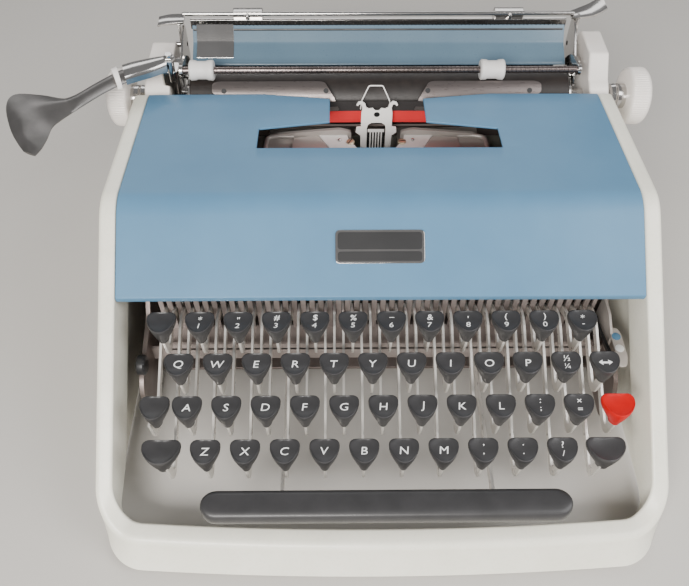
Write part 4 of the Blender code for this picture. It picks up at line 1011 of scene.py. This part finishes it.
def make_vibrator():
    """The ribbon's lifting plate: hooked horns, side wings and an arched window."""
    left = [(0.0, 98.6), (-1.2, 98.8), (-2.4, 100.4), (-4.8, 100.0), (-6.4, 101.0), (-7.0, 103.6),
            (-9.0, 105.4), (-11.2, 104.8), (-12.2, 103.0), (-11.4, 102.2), (-10.4, 103.6), (-9.2, 103.4),
            (-8.6, 101.0), (-9.2, 97.0), (-9.3, 87.0), (-12.0, 86.4), (-12.4, 83.0), (-9.5, 80.4),
            (-9.3, 66.0), (-6.0, 66.0)]
    window = [(-5.6, 70.0), (-5.6, 86.0), (-5.0, 88.6), (-3.0, 90.0), (0.0, 90.2)]
    half = left + window
    outline = [(PRINT_X + x, z) for x, z in half] + [(PRINT_X - x, z) for x, z in half[::-1] if x]
    plate = prism(outline, "Y", 232.4, 233.8)
    # Painted shade: a black disc on the plate's face stands for the dark seen through its hole.
    hole = rod("Y", (PRINT_X, 96.4), 1.8, 232.2, 233.0, 24, 0.1)
    piece("vibrator_plate", [plate], "ribbon_vibrator", "bright", bevel=0.25)
    piece("vibrator_hole", [hole], "ribbon_vibrator", "black")
    guide = [block(PRINT_X + x - 0.35, PRINT_X + x + 0.35, 233.9, 234.6, 67.0, 82.0)
             for x in (-3.4, -1.7, 0.0, 1.7, 3.4)]
    guide.append(block(PRINT_X - 5.0, PRINT_X + 5.0, 233.9, 234.4, 82.0, 84.0))
    piece("vibrator_guide", guide, "ribbon_vibrator", "bright")
    # Painted shade: a thin black sheet behind the guide's slats stands for the dark behind them.
    shade = block(PRINT_X - 5.4, PRINT_X + 5.4, 234.7, 235.0, 67.0, 84.0)
    piece("vibrator_painted_shade", [shade], "ribbon_vibrator", "black")


def make_type_basket():
    """The slotted segment and forty-three typebars, each with its type slug."""
    centre = (PRINT_X, SEGMENT[0])
    rings = []
    for degrees in range(-82, 83, 2):
        angle = math.radians(degrees)
        ring = []
        for radius, z in ((30.0, 30.2), (30.0, 35.6), (32.0, 36.6), (41.5, 36.6), (43.5, 35.2), (43.5, 30.2)):
            ring.append((centre[0] + radius * math.sin(angle), centre[1] - radius * math.cos(angle), z))
        rings.append(ring)
    piece("segment", [loft(rings)], "type_basket", "bright", bevel=0.3)
    bars, slugs, slots = [], [], []
    rise = math.tan(math.radians(16.0))
    for i in range(TYPEBARS):
        angle = math.radians(-78.0 + 156.0 * i / (TYPEBARS - 1))
        way = Vector((math.sin(angle), -math.cos(angle), 0.0))
        across = Vector((math.cos(angle), math.sin(angle), 0.0))

        def bar(radii, half, low, high):
            rings = []
            for radius in radii:
                base = SEGMENT[1] + max(0.0, radius - 43.0) * rise
                spot = Vector((*centre, 0.0)) + way * radius
                rings.append([tuple(spot + across * side * half + Vector((0.0, 0.0, base + z)))
                              for side, z in ((-1, low), (1, low), (1, high), (-1, high))])
            return loft(rings)

        bars.append(bar((34.0, 43.0, 60.0, 92.0), 0.55, -2.6, 0.4))
        bars.append(bar((92.0, 99.0), 0.45, -3.2, 0.0))
        slugs.append(bar((98.0, 103.5), 1.5, -3.4, -0.2))
        # Painted shade: thin black bars on the segment's top stand for the dark inside its slots.
        slots.append(bar((31.5, 42.0), 0.75, 2.4, 3.05))
    piece("typebars", bars, "type_basket", "typebar")
    piece("type_slugs", slugs, "type_basket", "bright", bevel=0.2)
    piece("segment_slots", slots, "type_basket", "black")


def make_selector():
    """The ribbon selector and the touch knob at the ends of the keyboard, with the colour plate."""
    arm = soften([(118.0, 49.5), (113.5, 45.0), (118.0, 40.5), (122.5, 45.0)], 2.4)
    shapes = [prism(arm, "X", 119.1, 120.9), strip([(116.0, 46.2), (88.0, 53.0)], 3.0, "X", 119.2, 120.8)]
    piece("selector_arm", shapes, "ribbon_selector", "selector", bevel=0.3)
    knob = [(116.0, 2.6), (116.4, 3.3), (117.0, 3.5), (120.4, 3.5), (121.0, 3.0), (121.2, 2.2)]
    knob = revolve("X", (88.0, 53.0), knob, 48, (116.9, 120.5, 0.3))
    piece("selector_knob", [knob], "ribbon_selector", "key")
    plate = [(121.9, 82.0), (126.0, 82.0), (127.6, 88.0), (127.6, 102.0), (126.4, 106.0), (121.9, 106.0)]
    tab = prism(soften(plate, 1.6), "Z", 54.0, 55.2)
    bracket = soften([(100.0, 42.0), (124.0, 43.0), (124.0, 60.0), (112.0, 60.0), (101.0, 54.8)], 1.0)
    bracket = prism(bracket, "X", 122.0, 123.4)
    piece("colour_plate", [tab, bracket], "machine", "satin", bevel=0.2)
    for name, y, look in (("upper", 100.4, "blue"), ("lower", 92.9, "ink")):
        dot = revolve("Z", (124.6, y), [(55.1, 2.3), (55.4, 2.3), (55.55, 2.0), (55.56, 0.05)], 32)
        piece("colour_dot_" + name, [dot], "machine", look, nodes=())
    touch = [(-127.2, 0.05), (-127.0, 4.6), (-126.4, 5.3), (-125.6, 5.5), (-123.4, 5.5), (-122.5, 4.9),
             (-122.2, 4.0), (-122.7, 0.05)]
    touch = revolve("X", (91.0, 45.0), touch, 60, (-123.3, -121.3, 0.2))
    piece("touch_knob", [touch], "machine", "selector")


# ---------------------------------------------------------------- carriage

def cx(x):
    """A place on the carriage, from its middle, in design millimetres."""
    return CARRIAGE_X + x


def make_carriage():
    """End caps, truck and rack, paper pan and table, and the margin rail with its scale and stops."""
    for side, outer, top, name in ((-1, 140.0, 111.0, "left"), (1, 137.0, 118.0, "right")):
        rear = CASE_REAR - 4.0
        corners = [(262.0, top), (rear - 6.0, top), (rear, top - 6.0), (rear, 70.5), (268.0, 70.5)]
        outline = arc(PLATEN, PLATEN_RADIUS - 1.0, 262, 105, 24) + soften(corners, 2.5, closed=False)
        ends = sorted((cx(side * 125.0), cx(side * outer)))
        piece("end_cap_" + name, [prism(outline, "X", *ends)], "carriage", "white", bevel=1.3)
    truck = [block(cx(-138.0), cx(135.0), 272.0, 288.0, 70.0, 78.0),
             block(cx(-PLATEN_HALF), cx(PLATEN_HALF), 284.5, 287.5, 77.0, 120.0),
             block(cx(-112.0), cx(112.0), 267.1, 274.0, 76.0, 79.5),
             rod("X", (280.0, 69.0), 1.2, cx(-138.0), cx(135.0))]
    piece("truck", truck, "carriage", "aluminium", bevel=0.4)
    places = [-110.0 + SCALE_STEP * i for i in range(86)]
    rack = [block(cx(x), cx(x + 1.3), 288.0, 289.2, 72.0, 77.0) for x in places]
    piece("escapement_rack", rack, "carriage", "bright")
    pan = arc(PLATEN, 18.4, 215, 320, 24) + arc(PLATEN, 17.2, 320, 215, 24)
    pan = prism(pan, "X", cx(-PLATEN_HALF), cx(PLATEN_HALF))
    piece("paper_pan", [pan], "carriage", "steel")
    table = soften([(267.4, 106.0), (268.5, 107.4), (280.0, 113.4), (287.0, 122.2), (287.6, 121.6),
                    (281.0, 112.0), (268.9, 105.4)], 1.0, steps=3)
    table = prism(table, "X", cx(-113.5), cx(114.0))
    piece("paper_table", [table], "carriage", "table", bevel=0.3)
    guide = soften([(271.0, 109.4), (280.0, 114.2), (286.6, 122.6), (287.2, 122.0), (280.8, 113.4),
                    (271.2, 108.6)], 0.8, steps=2)
    guide = prism(guide, "X", cx(-111.0), cx(-88.5))
    piece("paper_guide", [guide], "carriage", "chrome", bevel=0.3)
    rail = [rod("X", (289.3, 127.5), 1.3, cx(-119.0), cx(119.0)),
            block(cx(-114.5), cx(114.5), 286.5, 289.0, 119.0, 125.0)]
    piece("margin_rail", rail, "carriage", "chrome", bevel=0.3)
    marks = []
    for i in range(89):
        x = cx(-111.8 + SCALE_STEP * i)
        tall = 2.6 if i % 5 else 4.4
        marks.append(block(x - 0.2, x + 0.2, 286.3, 286.6, 120.2, 120.2 + tall))
    piece("margin_scale", marks, "carriage", "black")
    stops = []
    for side in (-1, 1):
        middle = cx(side * 79.5)
        body = soften([(288.3, 118.0), (296.0, 118.0), (296.0, 126.0), (294.0, 129.0), (288.3, 129.0)], 1.2)
        stops.append(prism(body, "X", middle - 9.0, middle + 9.0))
        stops.append(block(middle - 1.0, middle + 1.0, 285.6, 288.6, 125.2, 128.4))
    piece("margin_stops", stops, "carriage", "chrome", bevel=0.6)
    make_carriage_ends()


def make_carriage_ends():
    """Bright side plates behind the platen's ends, the bail pivots and the return lever's bracket."""
    shapes = []
    for side, top in ((-1, 121.0), (1, 126.0)):
        plate = soften([(258.0, 96.0), (262.0, 105.0), (270.0, 112.0), (281.0, top - 4.0), (290.0, top),
                        (292.0, top - 4.0), (291.0, 96.0)], 3.0)
        shapes.append(prism(plate, "X", *sorted((cx(side * 119.0), cx(side * 120.2)))))
        shapes.append(rod("X", BAIL_PIVOT, 3.2, *sorted((cx(side * 117.6), cx(side * 125.0)))))
        shapes.append(rod("X", (288.0, 108.0), 2.0, *sorted((cx(side * 119.0), cx(side * 126.0)))))
    shapes.append(rod("X", (266.0, 100.0), 1.6, cx(-119.0), cx(119.0)))
    piece("carriage_side_plates", shapes, "carriage", "chrome", bevel=0.25)
    bracket = soften([(-124.8, 248.0), (-114.8, 248.0), (-114.8, 258.0), (-124.8, 258.0)], 2.0)
    nut = [(122.2, 3.9), (123.2, 3.9), (124.4, 3.2), (125.0, 2.0), (125.1, 0.05)]
    shapes = [prism(bracket, "Z", 100.0, 115.0), rod("Z", LEVER_PIVOT, 2.4, 108.0, 126.0),
              revolve("Z", LEVER_PIVOT, nut, 6)]
    piece("lever_bracket", shapes, "carriage", "chrome", bevel=0.4)


def make_platen():
    """The rubber roller, its spindle with rings and collars, and the two ribbed knobs."""
    edge = 0.6
    roller = [(-PLATEN_HALF, 4.5), (-PLATEN_HALF, PLATEN_RADIUS - edge), (edge - PLATEN_HALF, PLATEN_RADIUS)]
    roller = [(cx(x), radius) for x, radius in roller + [(-x, radius) for x, radius in roller[::-1]]]
    piece("platen_roller", [revolve("X", PLATEN, roller, 96)], "platen", "rubber")
    metal = [rod("X", PLATEN, 4.5, cx(-151.5), cx(151.5), 32)]
    for side in (-1, 1):
        ring = [(PLATEN_HALF, 14.5), (114.4, 14.5), (114.8, 14.0), (114.8, 6.0)]
        collar = [(141.0, 6.2), (142.0, 7.2), (144.5, 7.5), (145.5, 7.0), (146.0, 7.5), (151.2, 7.5)]
        for profile in (ring, collar):
            turned = [(cx(side * x), radius) for x, radius in profile]
            metal.append(revolve("X", PLATEN, turned, 48))
    piece("platen_spindle", metal, "platen", "chrome")
    knobs = []
    for side in (-1, 1):
        knob = [(150.6, 11.0), (151.0, 15.2), (151.8, 16.4), (152.8, 16.9), (156.5, 17.1), (160.0, 17.2),
                (161.4, 16.7), (162.4, 15.8), (163.4, 14.2), (163.8, 12.8), (163.2, 12.0), (162.7, 11.0),
                (162.7, 4.0), (163.1, 3.2), (163.2, 0.05)]
        turned = [(cx(side * x), radius) for x, radius in knob]
        ribs = sorted((cx(side * 152.4), cx(side * 160.8)))
        knobs.append(revolve("X", PLATEN, turned, 288, (*ribs, 0.5)))
    piece("platen_knobs", knobs, "platen", "white", sharp=60.0)


RETURN_EDGES = (
    ((-1.0, 4.0), (-1.0, -4.0)),
    ((-11.5, 2.0), (-9.5, -9.5)),
    ((-26.5, -4.5), (-22.5, -16.5)),
    ((-39.5, -18.0), (-33.5, -26.5)),
    ((-51.5, -30.5), (-44.5, -40.0)),
    ((-66.0, -31.5), (-51.5, -49.5)),
    ((-79.0, -34.0), (-55.0, -56.0)),
    ((-81.0, -44.5), (-55.5, -65.0)),
    ((-74.5, -62.0), (-56.5, -73.0)),
    ((-65.5, -75.0), (-58.5, -78.5)),
)


def smooth_line(points, steps):
    """A Catmull-Rom curve through the points."""
    result = []
    for i in range(len(points) - 1):
        a = Vector(points[max(i - 1, 0)])
        b = Vector(points[i])
        c = Vector(points[i + 1])
        d = Vector(points[min(i + 2, len(points) - 1)])
        for k in range(steps):
            t = k / steps
            result.append((b * 2 + (c - a) * t + (a * 2 - b * 5 + c * 4 - d) * t ** 2
                           + (b * 3 - a - c * 3 + d) * t ** 3) / 2)
    return result + [Vector(points[-1])]


def lever_point(spot, z):
    """A point of the return lever, from its pivot in plan."""
    return LEVER_PIVOT[0] + spot.x, LEVER_PIVOT[1] + spot.y, z


def make_return_lever():
    """A cast lever: a socket on the pivot, a bright collar, a rounded arm and a ridged finger paddle."""
    rear = smooth_line([edge[0] for edge in RETURN_EDGES], 5)
    front = smooth_line([edge[1] for edge in RETURN_EDGES], 5)
    rings = []
    count = len(rear)
    for i, (far, near) in enumerate(zip(rear, front)):
        width = (far - near).length
        share = i / (count - 1)
        lift = math.tan(math.radians(14.0)) * max(0.0, width - 12.5)
        crown = (3.0 + 1.2 * math.sin(math.pi * min(1.0, share * 1.6))) * min(1.0, (1.02 - share) * 9)
        sharpness = 2.0 if share < 0.45 else 1.25
        shares = [k / 12 for k in range(13)]
        ring = [lever_point(near.lerp(far, t),
                            118.6 + lift * t + crown * (1 - abs(2 * t - 1) ** sharpness) * 0.8)
                for t in shares]
        ring += [lever_point(near.lerp(far, t), 118.2 + lift * t - (1 - abs(2 * t - 1) ** 2.0) * 0.6)
                 for t in shares[::-1]]
        rings.append(ring)
    piece("return_lever_arm", [loft(rings)], "return_lever", "aluminium", sharp=55.0)

    def sleeve(first, last, grow, low, high):
        """A domed sleeve round a stretch of the arm, wider than it by a margin."""
        sections = []
        for i in range(first, last):
            far, near = rear[i], front[i]
            out = (far - near).normalized() * grow
            a, b = near - out, far + out
            angles = [math.pi * k / 16 for k in range(17)]
            spots = [a.lerp(b, 0.5 - 0.5 * math.cos(angle)) for angle in angles]
            ring = [lever_point(spot, low + (high - low) * math.sin(angle) ** 0.6)
                    for spot, angle in zip(spots, angles)]
            sections.append(ring + [lever_point(spot, low - 0.4) for spot in spots[::-1]])
        return loft(sections)

    socket = sleeve(0, 11, 0.7, 117.6, 124.0)
    piece("return_lever_socket", [socket], "return_lever", "chrome", sharp=50.0)
    collar = sleeve(11, 13, 1.1, 117.4, 124.6)
    piece("return_lever_collar", [collar], "return_lever", "bright", bevel=0.3)


def make_bail():
    """The paper bail: a graduated rod on two arms, with its rollers."""
    profile = [(cx(-118.4), 1.6), (cx(-118.0), 2.0)]
    for i in range(88):
        x = cx(-111.0 + SCALE_STEP * i)
        profile += [(x - 0.35, 2.0), (x - 0.25, 1.75), (x + 0.25, 1.75), (x + 0.35, 2.0)]
    profile += [(cx(118.0), 2.0), (cx(118.4), 1.6)]
    piece("bail_rod", [revolve("X", BAIL, profile, 20)], "paper_bail", "bail")
    rollers, arms = [], []
    for middle in (-104.5, 65.5):
        half = [(-7.0, 3.4), (-7.0, 5.2), (-6.3, 5.9), (-3.6, 5.7), (-2.6, 5.2)]
        profile = half + [(-x, radius) for x, radius in half[::-1]]
        profile = [(cx(middle + x), radius) for x, radius in profile]
        rollers.append(revolve("X", BAIL, profile, 40))
    piece("bail_rollers", rollers, "paper_bail", "roller")
    path = soften([BAIL_PIVOT, (266.0, 113.0), BAIL], 6.0, closed=False)
    for side in (-1, 1):
        middle = cx(side * 116.7)
        arms.append(strip(path, 4.6, "X", middle - 0.8, middle + 0.8))
        arms.append(rod("X", BAIL, 3.2, middle - 1.2, middle + 1.2))
        arms.append(rod("X", BAIL_PIVOT, 2.0, *sorted((middle, cx(side * 130.0)))))
    piece("bail_arms", arms, "paper_bail", "chrome", bevel=0.2)


# Stations of each finger tab: place along the carriage, front edge, rear edge and height.
RELEASE_TABS = (
    (-1, "paper_release_lever", [(-135.0, 286.5, 295.0, 121.0), (-128.0, 286.3, 295.3, 122.4),
                                 (-118.8, 286.5, 295.0, 123.0)]),
    (1, "carriage_release_lever", [(117.0, 286.0, 292.0, 126.2), (123.0, 285.4, 295.0, 126.6),
                                   (129.0, 285.2, 297.4, 127.8), (134.0, 285.6, 299.2, 130.0),
                                   (137.4, 286.4, 300.0, 132.0)]),
)
TAB_HALF_THICKNESS = 0.7


def make_release_levers():
    """Two plates beside the paper table; each ends in a formed chrome finger tab."""
    for side, body, tab in RELEASE_TABS:
        top = tab[1][3] + 0.5
        plate = soften([(282.5, 84.5), (289.5, 84.5), (289.5, 100.0), (291.0, top), (287.0, top),
                        (284.0, 100.0)], 2.0)
        middle = cx(side * 122.0)
        shapes = [prism(plate, "X", middle - 0.75, middle + 0.75),
                  rod("X", (286.0, 88.0), 2.0, *sorted((middle, cx(side * 130.0))))]
        rings = []
        for x, front, rear, z in (tuple(station) for station in smooth_line(tab, 6)):
            shares = [k / 8 for k in range(9)]
            edge = [(front + (rear - front) * t, z - 1.4 * math.sin(math.pi * t) * 0.6 + 0.8 * t)
                    for t in shares]
            rings.append([(cx(x), y, high + TAB_HALF_THICKNESS) for y, high in edge]
                         + [(cx(x), y, high - TAB_HALF_THICKNESS) for y, high in edge[::-1]])
        shapes.append(loft(rings))
        piece(body + "_arm", shapes, body, "chrome", bevel=0.2)


# ---------------------------------------------------------------- scene

def make_floor():
    """A plain grey table top under the machine's feet."""
    material = finish("floor", (0.52, 0.50, 0.47), (0.55, 0.53, 0.50), 0.6, patch=3.0, grain=300.0, bump=0.02)
    mesh = bpy.data.meshes.new("floor")
    low = ORIGIN.z
    size = 6.0
    mesh.from_pydata([(-size, -size, low), (size, -size, low), (size, size, low), (-size, size, low)], [],
                     [[0, 1, 2, 3]])
    mesh.materials.append(material)
    floor = bpy.data.objects.new("floor", mesh)
    bpy.context.scene.collection.objects.link(floor)


def make_light(name, place, target, size, power, colour=(1.0, 1.0, 1.0)):
    """A rectangular lamp at a place, turned to a target, with its size in metres."""
    data = bpy.data.lights.new(name, "AREA")
    data.shape = "RECTANGLE"
    data.size = size[0]
    data.size_y = size[1]
    data.energy = power
    data.color = colour
    light = bpy.data.objects.new(name, data)
    bpy.context.scene.collection.objects.link(light)
    light.location = P(*place)
    light.rotation_euler = (P(*target) - P(*place)).to_track_quat("-Z", "Y").to_euler()


def make_world():
    """The even, dim light of the room."""
    world = bpy.data.worlds.new("studio")
    world.use_nodes = True
    background = world.node_tree.nodes["Background"]
    background.inputs["Color"].default_value = (0.86, 0.86, 0.87, 1.0)
    background.inputs["Strength"].default_value = 0.34
    bpy.context.scene.world = world


def make_camera():
    """The operator's view: from above the keyboard's front edge, a little to the left."""
    pitch = math.radians(51.76)
    yaw = math.radians(0.72)
    roll = math.radians(0.27)
    forward = Vector((math.sin(yaw) * math.cos(pitch), math.cos(yaw) * math.cos(pitch), -math.sin(pitch)))
    right = Vector((math.cos(yaw), -math.sin(yaw), 0.0))
    up = right.cross(forward)
    turned_right = right * math.cos(roll) + up * math.sin(roll)
    turned_up = up * math.cos(roll) - right * math.sin(roll)
    data = bpy.data.cameras.new("camera")
    data.sensor_width = 36.0
    data.lens = 38.02
    data.clip_start = 0.01
    camera = bpy.data.objects.new("camera", data)
    bpy.context.scene.collection.objects.link(camera)
    turn = Matrix((turned_right, turned_up, -forward)).transposed().to_4x4()
    camera.matrix_world = Matrix.Translation(P(-21.06, -117.13, 369.35)) @ turn
    bpy.context.scene.camera = camera


make_camera()
make_case()
make_cover()
make_keys()
make_space_bar()
make_frame()
make_spools()
make_ribbon()
make_printing_point()
make_vibrator()
make_type_basket()
make_selector()
make_carriage()
make_platen()
make_return_lever()
make_bail()
make_release_levers()
make_floor()
make_world()
make_light("key_light", (-300.0, -760.0, 700.0), (0.0, 140.0, 60.0), (0.6, 0.4), 21.0, (1.0, 0.97, 0.93))
make_light("fill_light", (620.0, -160.0, 620.0), (0.0, 140.0, 60.0), (0.5, 0.7), 6.0)
make_light("rear_light", (-100.0, 900.0, 650.0), (0.0, 200.0, 90.0), (1.0, 0.3), 2.2)
